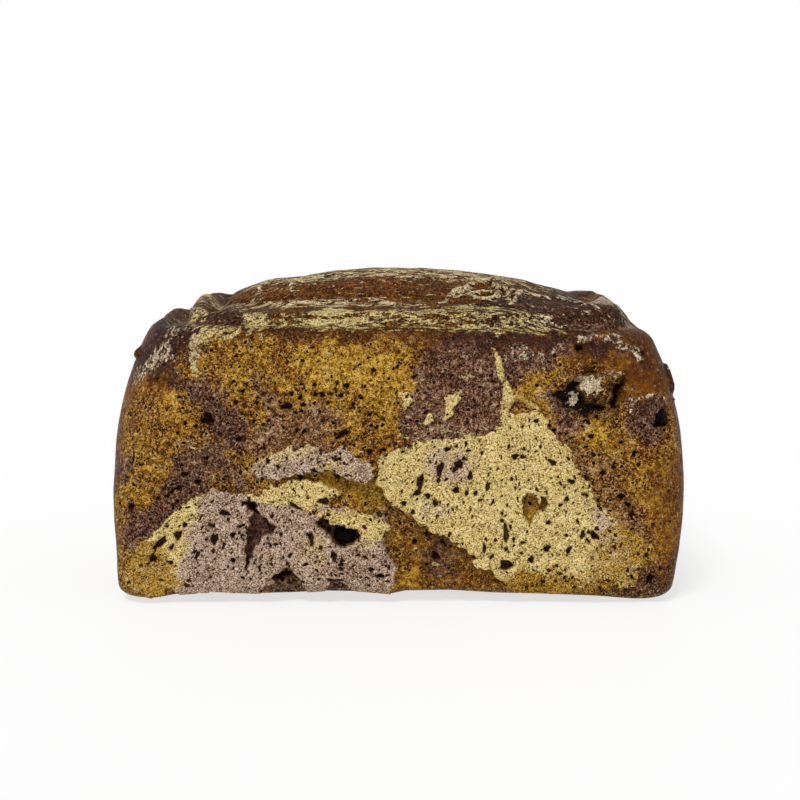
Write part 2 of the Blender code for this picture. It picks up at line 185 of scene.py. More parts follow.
def top_rise(x, y):
    """Height of the risen top above its shoulder: a rim, the dome, and a knob at the left."""
    right = (x >= 0.0).astype(int)
    ends = np.clip((RIM_END - np.abs(x)) / np.choose(right, RIM_END_RUN), 0.0, 1.0)
    sides = np.clip((RIM_SIDE - np.abs(y)) / RIM_SIDE_RUN, 0.0, 1.0)
    rim = (RIM_RISE + x / 55.0) * (1.0 - (1.0 - ends) ** 2) * (1.0 - (1.0 - sides) ** 2)
    reach = np.choose((x >= DOME_MIDDLE).astype(int), DOME_REACH)
    along = np.maximum(1.0 - (np.abs(x - DOME_MIDDLE) / reach) ** 1.8, 0.0)
    across = 0.5 * (1.0 + np.cos(math.pi * np.minimum(np.abs(y) / DOME_HALF_DEPTH, 1.0)))
    knob = KNOB_RISE * bell(x, KNOB_AT[0], 5.5) * bell(y, KNOB_AT[1], 9.0)
    return rim + DOME_RISE * along * across + knob


def inside(points, outline):
    """Distance in mm from an outline's edge, above 0 inside it and below 0 outside."""
    start = np.array(outline, float)
    run = np.roll(start, -1, axis=0) - start
    best = np.full(len(points), FAR)
    odd = np.zeros(len(points), bool)
    for (px, pz), (rx, rz) in zip(start, run):
        dx = points[:, 0] - px
        dz = points[:, 1] - pz
        t = np.clip((dx * rx + dz * rz) / max(rx * rx + rz * rz, TINY), 0.0, 1.0)
        best = np.minimum(best, (dx - t * rx) ** 2 + (dz - t * rz) ** 2)
        crosses = (pz > points[:, 1]) != (pz + rz > points[:, 1])
        odd ^= crosses & (dx < rx * dz / (rz if rz else TINY))
    return np.where(odd, 1.0, -1.0) * np.sqrt(best)


def near(points, route):
    """Distance in mm from a route, and how far along it the nearest place is, from 0 to 1."""
    route = np.array(route, float)
    best = np.full(len(points), FAR)
    along = np.zeros(len(points))
    for index, (start, end) in enumerate(zip(route[:-1], route[1:])):
        run = end - start
        away = points - start
        t = np.clip(away @ run / (run @ run), 0.0, 1.0)
        gap = np.hypot(*(away - t[:, None] * run).T)
        along = np.where(gap < best, (index + t) / (len(route) - 1), along)
        best = np.minimum(best, gap)
    return best, along


def washes(points, table):
    """Soft patches laid over one another, each a strength, a blur in mm and an outline."""
    total = np.zeros(len(points))
    for strength, blur, outline in table:
        part = strength * smooth(-blur, blur, inside(points, outline))
        total = np.where(np.abs(part) > np.abs(total), part, total)
    return total


# Skins, tears and gashes of the front wall, as outlines in s and z
CREAM = [
    (-7, 46), (-6, 50), (1, 54), (7, 56.3), (18, 56.2), (29, 58.6), (35.5, 61.5), (38, 65.3), (46.5, 66),
    (52, 61.5), (54, 57), (59, 53.5), (59, 49.5), (63.5, 43), (68, 34), (74.5, 28.5), (82, 24), (84, 15),
    (80, 6), (66, 2), (40, 2), (31.5, 11), (27.5, 12.6), (22, 18.5), (15, 23.5), (9, 27), (6.5, 26),
    (5, 30.5), (-1, 34.5), (-4, 37.5), (-6.3, 42)]
STRIP = [
    (-47.5, 45), (-47, 48.5), (-41, 51.5), (-36, 53.6), (-28, 54.5), (-24, 52.6), (-18, 54), (-10, 49),
    (-7.6, 47.5), (-8, 43.5), (-10.5, 41.5), (-16.5, 43.5), (-23.5, 46.2), (-30, 44.6), (-38.5, 44),
    (-45.5, 42.5)]
LOW = [
    (-62, 40), (-70, 35.5), (-77.5, 29.5), (-85, 22), (-91, 15), (-92.5, 6), (-80, 1), (-76.5, 5),
    (-72.5, 1), (-45, 0.5), (-41, 9.5), (-35, 13.2), (-32, 6), (-30, 0.5), (-1.5, 0.5), (0, 12),
    (-3, 19.5), (-5, 22.5), (-2, 26.5), (-4.5, 32), (-10, 31), (-17.5, 33.2), (-21.2, 33), (-19, 39),
    (-27, 42.5), (-37, 43.2), (-45, 38.2), (-56, 38.6)]
THREAD = [
    (31.4, 88.4), (32.8, 88), (34.9, 84.5), (37, 79.4), (38.7, 75), (39.8, 72), (42.4, 70.6), (45.6, 69.6),
    (48, 67.2), (46, 66), (42.6, 68.3), (39.2, 69.2), (37.8, 67), (37, 64.6), (36.6, 62), (34.2, 62),
    (34.6, 66), (35.6, 70), (36, 74), (34.6, 79), (32.8, 84.2)]
FLAKES = [
    [(1, 72), (4.5, 72.5), (5.5, 69), (2.8, 66.5), (1.4, 68.5)],
    [(21.5, 73.5), (22.5, 71), (18.5, 67), (16, 62), (14.6, 64), (17, 70)],
    [(7.5, 61.2), (12.5, 62), (11.5, 65.5)]]
SKINS = (CREAM, STRIP, LOW, THREAD, *FLAKES)
CENTRE_TEAR = [
    (-42, 47), (-30, 48), (-12, 46), (-2, 40), (4, 30), (14, 27), (30, 14), (42, 7), (30, 2), (4, 2),
    (-6, 9), (-8, 20), (-12, 34), (-24, 40), (-36, 41)]
GASHES = [
    [(-51, 35.6), (-47.2, 34.6), (-46.4, 31.4), (-40.4, 27.4), (-43.4, 24.6), (-46.4, 21), (-48.4, 16.6),
        (-50.4, 11), (-50.8, 16.6), (-49.6, 22.3), (-49.8, 26.3), (-48.8, 31)],
    [(-27, 29.5), (-24.3, 30.2), (-22, 28.2), (-15.5, 27), (-12.6, 24.5), (-13.5, 21.5), (-17, 20),
        (-21.5, 22), (-25, 26.5)]]
OLIVE_HOLE = [
    (41.9, 36.2), (43.4, 37.6), (45.2, 37.2), (46.9, 36.4), (47.4, 34.6), (48.2, 35.4), (48.4, 37.4),
    (50.4, 37.2), (50.8, 34.8), (50.6, 31.4), (49.4, 32.6), (47.6, 32.6), (46.2, 31.8), (45, 29.8),
    (44, 26.6), (43.2, 29.6), (41.6, 32.4)]
HOLLOWS = [
    [(-45.5, -1), (-41, 9.5), (-35, 13.2), (-31.5, 6), (-29.5, -1)],
    [(-25, -1), (-22, 6.4), (-18, 5.6), (-14, -1)]]

# Skins and the tear of the back wall, the same way
BACK_SKINS = [
    [(-70, 22), (-61, 34), (-48, 40), (-30, 47), (-12, 44), (2, 50), (14, 45), (10, 36), (19, 27), (8, 17),
        (-10, 13), (-30, 7), (-52, 6), (-68, 10)],
    [(34, 52), (47, 60), (62, 57), (71, 44), (66, 33), (54, 37), (44, 34), (37, 42)]]
BACK_TEAR = [(6, 48), (18, 49), (40, 44), (40, 30), (24, 18), (12, 20), (8, 34)]

# High on the right a lump burst in a crater, with a groove beside it, and a nub stands at each end.
# Each is its middle in s and z with half its width and height, and the groove is a route.
CRATER = (64.5, 72.6, 10.5, 6.8)
LUMP = (67.5, 74.6, 7.2, 5.4)
NUBS = ((-98.0, 81.8, 2.6, 2.2), (99.8, 76.0, 3.6, 5.4))
GROOVE = ((76, 80), (75.5, 76.5), (73.8, 73), (72.8, 69), (72, 65.5), (72, 61), (72, 56))

# Where purple dough shows on the front wall, each as strength, blur in mm and outline
PURPLE = [
    (1, 2.5, [(-85, 82), (-73.5, 79.5), (-65.5, 75), (-58, 69.5), (-53.5, 63), (-50, 56), (-52.5, 52),
        (-58, 56), (-64, 62), (-68.5, 69), (-73, 74), (-80.5, 78.5)]),
    (0.65, 3, [(-50, 58.5), (-40.5, 65.5), (-32, 68), (-21.5, 66), (-19.5, 59), (-23, 52), (-37, 53.5),
        (-45, 51), (-50.5, 52.5)]),
    (0.6, 2, [(-52, 77.5), (-44.5, 76), (-39.5, 72), (-38, 66), (-42, 64.5), (-47, 70)]),
    (0.82, 3, [(-71, 56), (-64, 56), (-58.5, 53.5), (-53.5, 48.5), (-49, 43.5), (-45, 39), (-52.5, 40),
        (-60.5, 43.5), (-63, 38.5), (-67, 35), (-70.5, 32.5), (-75.5, 29), (-81, 23), (-85.5, 17.5),
        (-89.5, 17), (-94, 20), (-94.5, 27), (-89.5, 32), (-82.5, 34), (-78.5, 37), (-77, 42.5), (-75, 48),
        (-73.5, 53)]),
    (0.8, 2, [(-108, 51.5), (-91.5, 51.5), (-89.5, 45.5), (-91.5, 40), (-108, 40)]),
    (1, 2.5, [(7, 85.5), (14.5, 89.5), (28, 93), (41.5, 93), (54.5, 91), (59.5, 86.5), (54.5, 82),
        (44.5, 80), (39.5, 76.5), (38.5, 71), (40.5, 66.5), (37, 61), (31, 57.5), (24.5, 55.5),
        (14.5, 54.5), (6.5, 53.5), (1, 56), (2, 63), (5.5, 69.5), (7, 76)]),
    (0.9, 2, [(49.5, 75.5), (54.5, 74.5), (58.5, 69.5), (61, 64.5), (58, 60), (53, 63), (49.5, 68)]),
    (0.78, 1.2, [(77.5, 70.5), (82.5, 72), (89.5, 69.5), (91.5, 62.5), (88.5, 56.5), (83, 54.5),
        (78, 59.5), (76.5, 66)]),
    (0.4, 4, [(50, 62), (56, 66), (64, 58), (70, 50), (78, 40), (84, 31), (84, 23), (77, 19), (72, 26.5),
        (68.5, 32.5), (63, 37.5), (58, 46), (52, 56)]),
    (0.6, 3, [(69, 9), (78.5, 11.5), (87, 12), (94, 8), (92.5, 2), (72.5, 2)]),
    (1, 1.5, [(-46, -2), (-42, 10), (-35, 14), (-31, 6), (-24, 8), (-14, 6), (-13, -2)]),
    (0.3, 2, [(56, 81), (72, 81), (75, 68), (70, 64), (58, 65)]),
    (0.95, 2, [(7.5, 15), (12, 18.5), (17, 16), (21, 9), (17, 4), (10, 5.5)]),
    (1, 1.5, [(12.5, 21), (18, 22), (20, 17.5), (18.5, 12), (14, 12), (11.5, 16)]),
    (0.6, 2, [(-6.5, 36), (-0.5, 36.5), (2, 31.5), (0.5, 26.5), (-4, 30)]),
    (0.85, 2.5, [(50, 91), (68.5, 92.5), (78, 90), (86, 84), (80, 81.5), (71.5, 85.5), (61.5, 87),
        (51.5, 88)]),
    (0.8, 5, [(-60, 98), (-90, 98), (-100, 74), (-88, 78), (-74, 82), (-62, 90)]),
    (0.6, 6, [(96, 90), (140, 90), (140, 40), (97, 44)])]

# Where it shows on top, in x and y
TOP_PURPLE = [
    (1, 5, [(26, -60), (28, -30), (46, -16), (62, -4), (72, 20), (110, 20), (110, -60)]),
    (1, 4, [(-110, -60), (-110, 20), (-76, 6), (-68, -24), (-58, -33), (-46, -36), (-48, -60)])]

# Where the crust baked lighter or darker than elsewhere
TONES = [
    (1, 3, [(-33, 85.5), (-25.5, 87.5), (-12, 88), (0, 86), (4, 81), (2.5, 72), (-2.5, 68), (-8, 70),
        (-13.5, 72), (-22, 72), (-30, 74.5), (-35, 80)]),
    (0.7, 2, [(-60, 80), (-55.5, 82), (-49, 81), (-44.5, 78.5), (-52, 74), (-56.5, 72), (-60.5, 75)]),
    (0.7, 2, [(-79, 71), (-73, 72.5), (-69, 69), (-70.5, 64.5), (-76, 64), (-79.5, 67)]),
    (0.6, 2, [(-50, 62.5), (-44.5, 64), (-41, 61.5), (-41.5, 55.5), (-47, 54), (-50.5, 57.5)]),
    (0.8, 3, [(-42.5, 74.5), (-32, 73.5), (-19, 71), (-5.5, 69.5), (1, 66), (0, 59.5), (-9, 62.5),
        (-17, 65.5), (-26, 68.5), (-37, 69.5)]),
    (0.7, 2, [(39.5, 76.5), (46, 78), (52, 76), (50.5, 71), (44.5, 69.5), (40, 71)]),
    (0.8, 2.5, [(56.5, 63.5), (64.5, 64.5), (70, 61), (69.5, 54.5), (62, 53.5), (56.5, 57.5)]),
    (0.5, 4, [(-48, 58.5), (-40.5, 65.5), (-32, 68), (-21.5, 66), (-15, 59), (-18, 50), (-37, 52.5)]),
    (0.1, 4, [(-108, 54.5), (-92.5, 58), (-82.5, 59.5), (-76.5, 55), (-77, 46), (-79.5, 36), (-82.5, 32.5),
        (-88, 31), (-108, 33)]),
    (-1, 1, [(-101, 78), (-94, 78), (-94, 86), (-101, 86)]),
    (-1.3, 2.2, [(-60, 90.5), (-20, 89.5), (20, 88), (52, 87), (62, 88), (70, 100), (-60, 100)]),
    (-0.9, 4, [(56, 90), (62, 83), (76, 86), (98, 78), (100, 62), (120, 60), (120, 100), (60, 100)]),
    (-0.5, 4, [(-28, 0), (-4, 0), (-2, 18), (-14, 20), (-26, 10)]),
    (-1.2, 3, [(-61, 90), (-66, 82), (-76, 79), (-92, 73), (-120, 73), (-120, 100), (-60, 100)]),
    (0.55, 4, [(4, 54), (30, 55), (38, 62), (32, 68), (8, 64)]),
    (-0.3, 3, [(76, 80), (82, 82.5), (90, 80), (95, 74), (92, 71), (85, 72), (77, 73)]),
    (-0.6, 1.5, [(77.5, 70.5), (82.5, 72), (89.5, 69.5), (91.5, 62.5), (88.5, 56.5), (83, 54.5),
        (78, 59.5)]),
    (1.2, 2, [(1, 5), (6, 5), (7.5, 9), (4, 12), (0, 10)]),
    (-1.7, 0.8, [(96.5, 71), (104, 71), (104, 82), (96.5, 82)]),
    (-0.8, 1.5, [(57, 80), (64, 82), (73, 80), (74, 68), (69, 64), (59, 65), (55, 71)]),
    (-0.9, 2.5, [(66, 9), (78, 10), (92, 14), (120, 20), (120, -5), (60, -5)]),
    (-0.5, 3, [(90, 70), (98, 60), (97, 20), (120, 10), (120, 75)]),
    (-0.3, 3, [(-92, 70), (-98, 60), (-97, 10), (-120, 10), (-120, 75)]),
    (-0.5, 3, [(70, 70), (75, 50), (90, 52), (95, 40), (92, 60), (84, 74)]),
    (-0.6, 3, [(-85, 82), (-73, 80), (-62, 74), (-50, 60), (-52, 50), (-60, 54), (-70, 68), (-82, 78)]),
    (-0.6, 1.5, [(-46, -2), (-42, 10), (-35, 14), (-31, 6), (-28, -2)]),
    (-0.35, 3, [(0, 26), (6, 28), (18, 21), (33, 12), (36, -4), (0, -4)]),
    (-0.4, 3, [(-78, 46), (-60, 44), (-60, 38), (-78, 28), (-92, 16), (-96, 26), (-82, 36)])]

# Where the torn crust set glassy, so that it shows less grain
GLAZES = [
    (0.85, 2.5, [(-60, 90), (-20, 89), (20, 87), (52, 87), (70, 90), (70, 100), (-60, 100)]),
    (1, 2, [(75.5, 81), (81.5, 83), (92, 80), (97, 73), (86.5, 71.5), (79.5, 72), (75.5, 73.5)]),
    (0.4, 2.5, [(0, 24), (6, 28), (18, 21), (33, 12), (36, 0), (2, 0)]),
    (0.9, 4, [(54, 94), (58, 82), (70, 82), (76, 70), (92, 70), (100, 56), (120, 56), (120, 100),
        (60, 100)]),
    (0.85, 4, [(-60, 96), (-68, 84), (-76, 72), (-94, 68), (-120, 68), (-120, 100), (-60, 100)]),
    (0.6, 3, [(84, 40), (90, 52), (120, 50), (120, 4), (88, 4)]),
    (0.5, 3, [(-92, 60), (-96, 40), (-97, 8), (-120, 8), (-120, 66)])]

# Skin that is mauve, cream skin lying over it, and skin that baked on to gold
MAUVES = [
    (1, 2.4, [(-64, 40), (-69.5, 26.5), (-72, 15), (-75, 0), (3, 0), (3, 20), (-3, 31), (-8, 37),
        (-20, 46), (-52, 42)]),
    (0.8, 3, [(-54, 41), (-54, 56), (-6, 60), (-4, 40), (-20, 40)]),
    (0.95, 8, [(-20, 38), (-18, 60), (-6, 60), (-4, 38), (-14, 38)]),
    (0.5, 3, [(7, 53), (14.5, 54), (24.5, 53), (28, 48.5), (24.5, 43.5), (19.5, 39.5), (14.5, 40),
        (9.5, 44.5)]),
    (0.4, 3, [(6, 35), (11.5, 36), (17.5, 35), (18.5, 31.5), (15, 29), (9.5, 28.5), (6, 31)]),
    (0.5, 2, [(62, 40), (67, 35), (73.5, 28), (79, 20), (82, 12), (76, 12), (69.5, 21), (64.5, 30)]),
    (0.5, 2, [(-48, 44), (-44, 49), (-38, 50), (-40, 45), (-46, 43)])]
CREAMS = [
    (1, 0.8, [(-7.8, 47), (-6, 52), (1, 56), (8, 52), (8, 34), (6, 29), (-1, 34.3), (-4.2, 37.3),
        (-6.8, 41)]),
    (0.5, 2, [(-45, 48), (-41, 55), (-32, 56), (-27, 54), (-31, 50), (-39, 48)]),
    (0.2, 2, [(-28, 47), (-22, 50), (-14, 49), (-12, 46), (-20, 45)]),
    (1, 0.8, [(-50, 37.5), (-44.5, 41), (-34, 44), (-21.5, 42), (-18.5, 38.5), (-20.5, 33.5), (-28, 35),
        (-26.5, 32), (-16.5, 32.5), (-9.5, 31.5), (-2, 28.5), (-2, 22), (-10.5, 23), (-20, 27.5),
        (-26, 31), (-35, 34), (-43.5, 35)]),
    (0.35, 3, [(-32, 24), (-24, 26), (-18, 20), (-26, 12), (-34, 12)]),
    (0.4, 1.5, [(-15, 23), (-8, 22), (-6, 19), (-12, 18), (-16, 20)])]
WORN = [
    (0.9, 4, [(64, 50), (72, 38), (80, 30), (92, 24), (92, -6), (76, -6), (80, 10), (77, 22), (70, 33)]),
    (0.62, 3, [(-99, -4), (-95, 16), (-88, 23), (-80, 25.5), (-74, 20), (-73, 10), (-75, -4)]),
    (0.8, 5, [(20, -4), (26, 8), (41.5, 10.5), (55, 11.5), (66, 9), (76, 7), (84, 3), (84, -6)]),
    (0.5, 4, [(62, 8), (66, 20), (70, 30), (80, 28), (84, 16), (82, 6)]),
    (0.6, 2.5, [(33, 68), (42, 72), (50, 69), (46, 65), (38, 64)]),
    (0.4, 2.5, [(52, 62), (58, 60), (62, 50), (72, 36), (66, 36), (56, 50)])]

# Bubbles seen on the front wall: s, z, width, height, tilt
BUBBLES = [
    (8, 42.3, 2.7, 6, -8), (7, 38.6, 3.2, 2.4, 20), (14.6, 46.5, 2.5, 6.2, -14),
    (20.9, 48.3, 3.4, 3.4, 10), (19.6, 46.6, 2.6, 2, 38), (24.7, 44.4, 1.9, 3.8, -8),
    (10.5, 37.5, 2, 2.6, 30), (20, 39.5, 2.6, 2.6, 0), (23.5, 38.5, 1.6, 2.4, 0), (26.5, 38.5, 1.5, 2, 0),
    (30.5, 40.7, 1.7, 3.4, 0), (39.6, 51, 2.2, 2.6, -28), (42.2, 51, 2.4, 1.5, -20),
    (17, 53.5, 2.6, 1.9, 10), (24, 53, 2.2, 1.2, 5), (52, 49.2, 4, 1.9, -34), (58.5, 42.6, 3.2, 1.9, -20),
    (36.8, 24.8, 2, 8.4, 4), (37, 13.4, 5, 4.4, 20), (50.6, 19.4, 2.4, 3, -30), (62.6, 24.5, 1.8, 3.2, 0),
    (66.6, 24, 4.6, 2.4, -42), (45.4, 15.6, 2.3, 3, 0), (29.6, 19.4, 1.3, 4.4, 0), (2.5, 35, 2.2, 2, 0),
    (5.5, 32, 1.6, 2.2, 0), (13, 35, 2, 2.8, 25), (51, 28.5, 2, 1.8, 0), (58, 19, 1.8, 3.6, -25),
    (57, 36.6, 1.9, 2.2, 0), (55, 34.6, 1.2, 1.6, 0), (46.6, 63.2, 2, 1.6, 0), (52.5, 60, 1.8, 1.6, 0),
    (35.5, 29, 1.4, 1.6, 0), (42.6, 21.6, 2.4, 1.1, 0), (37.5, 54.4, 1.2, 2, 0), (89.4, 63.8, 7, 6, 35),
    (-48.4, 34.4, 4.6, 3.2, -35), (-57.6, 31.6, 4.4, 2.3, -12), (-61.2, 22.6, 2.8, 4.4, -20),
    (-55, 24.2, 2, 2.6, -30), (-52, 27.4, 3.4, 1.2, 25), (-67, 17.2, 1.4, 3.6, -25), (-55, 15.4, 2, 2, 0),
    (-73.4, 24, 2.9, 3.8, -20), (-79.4, 21.4, 6.4, 2.6, 42), (-75.6, 20, 1.4, 2.8, -30),
    (-82, 16, 2.9, 3.4, 0), (-71, 27.6, 1.8, 2.2, 0), (-76, 14.6, 1.8, 1.6, 20),
    (-34, 34.2, 5.8, 1.5, -32), (-24.2, 35.8, 4.6, 2.6, -8), (-28.6, 22.8, 1.9, 5.6, 6),
    (-21, 16.8, 2, 4.6, 8), (-18.6, 14, 1.8, 2, 0), (-40.6, 21, 2.2, 1.3, 0), (-36, 17, 1.2, 2, 0),
    (-30.6, 14, 2.4, 1.4, 20), (-8.5, 12, 2, 2.2, 0), (-13, 17.4, 1.4, 1.4, 0), (-5.5, 9, 3.6, 2.6, 0),
    (-39, 8.4, 8.6, 4, 18), (-21, 6.4, 6.4, 2.6, 0), (-63, 63, 4.4, 4.4, 0), (-90, 49.6, 1.6, 5.6, 0),
    (-90.2, 33.5, 3.2, 2.4, 0), (-36.6, 67.4, 4.6, 2.4, 10), (-53.5, 68.5, 1.8, 1.8, 0),
    (-46.5, 68.4, 1.6, 1.6, 0), (60.6, 88, 3, 2.6, 0), (-18, 58.4, 5.6, 2.4, 36), (-31, 68, 2, 1.6, 0),
    (75.2, 37.4, 2.6, 2.2, -30), (77.6, 34.6, 2.8, 1.8, -30), (78.8, 31, 1.8, 2, 0),
    (85.6, 8.4, 2.4, 4, -20), (-71, 44.6, 2.8, 2, 0), (-66.5, 42, 2.2, 2.2, 0), (-73, 40, 2.6, 1.7, 20),
    (-70.4, 61.6, 1.6, 1.8, 0), (-67, 60.6, 2, 1.4, 0), (65, 58, 2.2, 1.8, 0), (75, 56, 1.8, 1.4, 0),
    (79.6, 52.6, 1.8, 1.6, 0), (69, 45.6, 2.2, 1.6, 0), (-40.4, 75, 1.6, 1.4, 0), (-35, 71.6, 1.8, 1.8, 0),
    (-32, 70.4, 1.7, 2.6, -30), (-27, 71.4, 1.8, 1.6, 0), (-24.6, 71.2, 2, 1.8, 20),
    (-21.8, 71.8, 1.6, 1.6, 0), (-16.6, 74.4, 2.2, 2, 0), (-19.6, 75.2, 1.6, 1.6, 0),
    (-7.6, 79.6, 2, 1.8, 0), (-11.6, 70.4, 1.8, 1.4, 0), (-14.4, 68.4, 1.8, 1.6, 0),
    (-8.8, 65, 2, 1.5, 25), (-21, 62, 1.5, 1.6, 0), (-20.4, 58.4, 1.4, 1.4, 0), (-30.6, 59.2, 1.8, 1.6, 0),
    (-33, 59.6, 1.4, 1.4, 0), (15.6, 21.2, 1.6, 2.6, 35), (13.2, 16, 3, 3.6, 30),
    (10.2, 13, 1.8, 0.9, -15), (-0.2, 16, 1.2, 1, 0)]
# Small bubbles: how many, their least width in mm, the face, and the range of s and z they open in
BUBBLE_FIELDS = [
    (190, 0.75, -1, (-56, 4), (48, 76)), (60, 0.7, -1, (-56, 4), (72, 88)),
    (70, 0.75, -1, (-98, -60), (24, 78)), (130, 0.75, -1, (55, 97), (4, 64)),
    (45, 0.6, -1, (4, 42), (55, 86)), (30, 0.7, -1, (54, 96), (60, 90)), (210, 0.6, -1, (-6, 80), (4, 66)),
    (210, 0.65, -1, (-92, -2), (3, 54)), (230, 0.8, 1, (-140, 140), (5, 90)),
    (50, 0.8, -1, (100, 140), (5, 88)), (50, 0.8, -1, (-140, -98), (5, 88)),
    (45, 1, -1, (-47, -8), (43, 54)), (110, 1, -1, (-68, -4), (4, 36)), (70, 0.9, -1, (6, 70), (8, 56))]
# Where the skin first split, in s and z, for most of the wall and for its low left part
BUBBLE_APEXES = ((36.0, 97.0), (-42.0, 58.0))
WIDEST_SMALL_BUBBLE = 2.3

# Folds of dough on top, each a route in x and y, a half width and a height
FOLDS = [
    ([(15, -31), (17.5, -28), (20, -23), (23, -20.5), (25, -17), (28.5, -14), (33, -12), (36.5, -13)], 1.9,
        1.5),
    ([(36.4 + 2.4 * math.cos(t), -14.6 + 3.4 * math.sin(t)) for t in np.linspace(1.9, 7.2, 12)], 1.3, 1.7),
    ([(20, -25.5), (24, -24.5), (26, -21.8), (29.5, -21), (32, -21.5), (34, -18.5)], 1.6, 1.1),
    ([(26, -22.5), (28, -26), (31.5, -27), (33.5, -24.5), (35, -23.5)], 1.5, 1),
    ([(34.2, -24.5), (35.4, -23)], 2, 2),
    ([(38.5, -28), (38.8, -21.5), (40.5, -18.5), (42.4, -21.5), (40.8, -27), (39.6, -31)], 1.4, 1.5),
    ([(41, -17), (46.5, -18), (51.5, -20), (57.5, -22.5), (63, -28), (68, -36)], 1.8, 0.9),
    ([(-48.5, -9), (-48.2, -15.5)], 1.5, 0.7),
    ([(-34, -9), (-36.5, -12), (-36, -19)], 1.4, 0.8),
    ([(-57, -26), (-43, -28), (-28, -28), (-12, -27.5), (2, -31)], 1.8, 0.8),
    ([(-40, -13), (-20, -16), (-4, -14), (10, -17)], 2.6, 0.4),
    ([(66, -26), (71, -12), (73, 4), (70, 20)], 3, 0.4),
    ([(-50, 18), (-30, 24), (-6, 21), (16, 26), (36, 20)], 2.4, 1.2)]
FLOURED_FOLDS = 9
# Rises and dips across the top near its ends: x, half width, height, and how far from the middle in
# y each has run out and is whole
CROSSINGS = ((-76.8, 4.0, -4.8, 52.0, 34.0), (-62.8, 3.0, -4.8, 42.0, 22.0), (-46.0, 9.0, 1.3, 26.0, 10.0),
             (69.5, 4.5, -3.3, 34.0, 16.0), (78.8, 4.0, 2.2, 34.0, 16.0))
CREASE = ((-64, -20), (-44, -24), (-20, -23), (6, -25), (24, -31), (44, -34), (66, -32))

# The widest cells of the loaf's mesh, in mm
CELL = 3.0


def loaf_skin():
    """A box of the tin's size in one skin of quads, its cells halved where more of the form shows."""
    columns = round(LENGTH / CELL)
    rows = round(DEPTH / CELL)
    levels = round(SHOULDER / CELL)
    mesh = bmesh.new()
    corners = {}

    def corner(*steps):
        if steps not in corners:
            i, j, k = steps
            corners[steps] = mesh.verts.new(((i / columns - 0.5) * LENGTH, (j / rows - 0.5) * DEPTH,
                                             k / levels * SHOULDER))
        return corners[steps]

    def side(first, second, fixed, ends):
        for i in range(first):
            for j in range(second):
                for end in ends:
                    ring = [fixed(*step, end) for step in ((i, j), (i + 1, j), (i + 1, j + 1), (i, j + 1))]
                    mesh.faces.new([corner(*steps) for steps in ring])

    side(columns, levels, lambda a, b, end: (a, end, b), (0, rows))
    side(rows, levels, lambda a, b, end: (end, a, b), (0, columns))
    side(columns, rows, lambda a, b, end: (a, b, end), (0, levels))
    bmesh.ops.recalc_face_normals(mesh, faces=mesh.faces[:])

    def halve(wanted):
        faces = mesh.faces[:]
        middles = np.array([face.calc_center_median() for face in faces])
        edges = {edge for face, want in zip(faces, wanted(middles)) if want for edge in face.edges}
        bmesh.ops.subdivide_edges(mesh, edges=list(edges), cuts=1, use_grid_fill=True)

    # All but the base, then the front wall, the front half of the top and the front of the ends
    front = -DEPTH / 2 + 0.1
    halve(lambda m: m[:, 2] > 0.01)
    halve(lambda m: (m[:, 1] < front) | (m[:, 1] < 0.0) & (m[:, 2] > SHOULDER - 0.01)
          | (m[:, 1] < front + 24.0) & (m[:, 2] > 0.01))
    halve(shows_edge)
    bmesh.ops.triangulate(mesh, faces=[face for face in mesh.faces if len(face.verts) > 4])
    return mesh


def ragged(points, sway=1.0):
    """Push points of the wall about, so that what is drawn with them gets a torn edge."""
    flat = np.stack((points[:, 0], points[:, 1], np.zeros(len(points))), 1)
    moved = points.copy()
    for axis in (0, 1):
        moved[:, axis] += sway * (0.9 * rough(flat, 6.0, 31 + axis, 2)
                                  + 0.8 * rough(flat, 2.1, 41 + axis, 2))
    return moved


def shows_edge(middles):
    """True near the torn edges and bubbles of the front wall."""
    _, s, z = loaf_places(middles)
    points = np.stack((s, z), 1)
    moved = ragged(points)
    edge = np.full(len(points), FAR)
    for outline in (*SKINS, *GASHES, OLIVE_HOLE):
        edge = np.minimum(edge, np.abs(inside(moved, outline)))
    for (middle_s, middle_z, face), wide, tall, *_ in all_bubbles:
        reach = max(wide, tall) / 2
        if face < 0 and reach > 0.85:
            from_rim = np.abs(np.hypot(s - middle_s, z - middle_z) - reach * 0.7)
            edge = np.minimum(edge, from_rim - reach * 0.3)
    on_front = (middles[:, 1] < -DEPTH / 2 + 8.0) & (middles[:, 2] > 0.1) & (middles[:, 2] < SHOULDER - 0.1)
    return on_front & (edge < 0.5)


# Every bubble, as place and face, width, height, tilt and depth. The small ones are drawn at random,
# and lean away from where the skin first split.
draw = np.random.default_rng(5936)
all_bubbles = [((s, z, -1), wide, tall, tilt, 0.7 + 0.5 * min(wide, tall))
               for s, z, wide, tall, tilt in BUBBLES]
for number, least, face, s_range, z_range in BUBBLE_FIELDS:
    for _ in range(number):
        s = draw.uniform(*s_range)
        z = draw.uniform(*z_range)
        size = min(least + 0.36 * draw.exponential(), WIDEST_SMALL_BUBBLE)
        slim = draw.uniform(0.38, 0.85)
        apex = BUBBLE_APEXES[int(s < -4.0 and z < 56.0)]
        tilt = math.degrees(math.atan2(z - apex[1], s - apex[0])) + draw.normal(0.0, 20.0)
        all_bubbles.append(((s, z, face), size, size * slim, tilt, 0.35 + 0.55 * size * slim))

mesh = loaf_skin()
data = bpy.data.meshes.new("loaf_crust")
mesh.to_mesh(data)
mesh.free()
count = len(data.vertices)
box = np.empty(count * 3)
data.vertices.foreach_get("co", box)
box = box.reshape(-1, 3)
base, s, wall_z = loaf_places(box)
data.vertices.foreach_set("co", base.ravel())
data.update()
normal = np.empty(count * 3)
data.vertex_normals.foreach_get("vector", normal)
normal = normal.reshape(-1, 3)

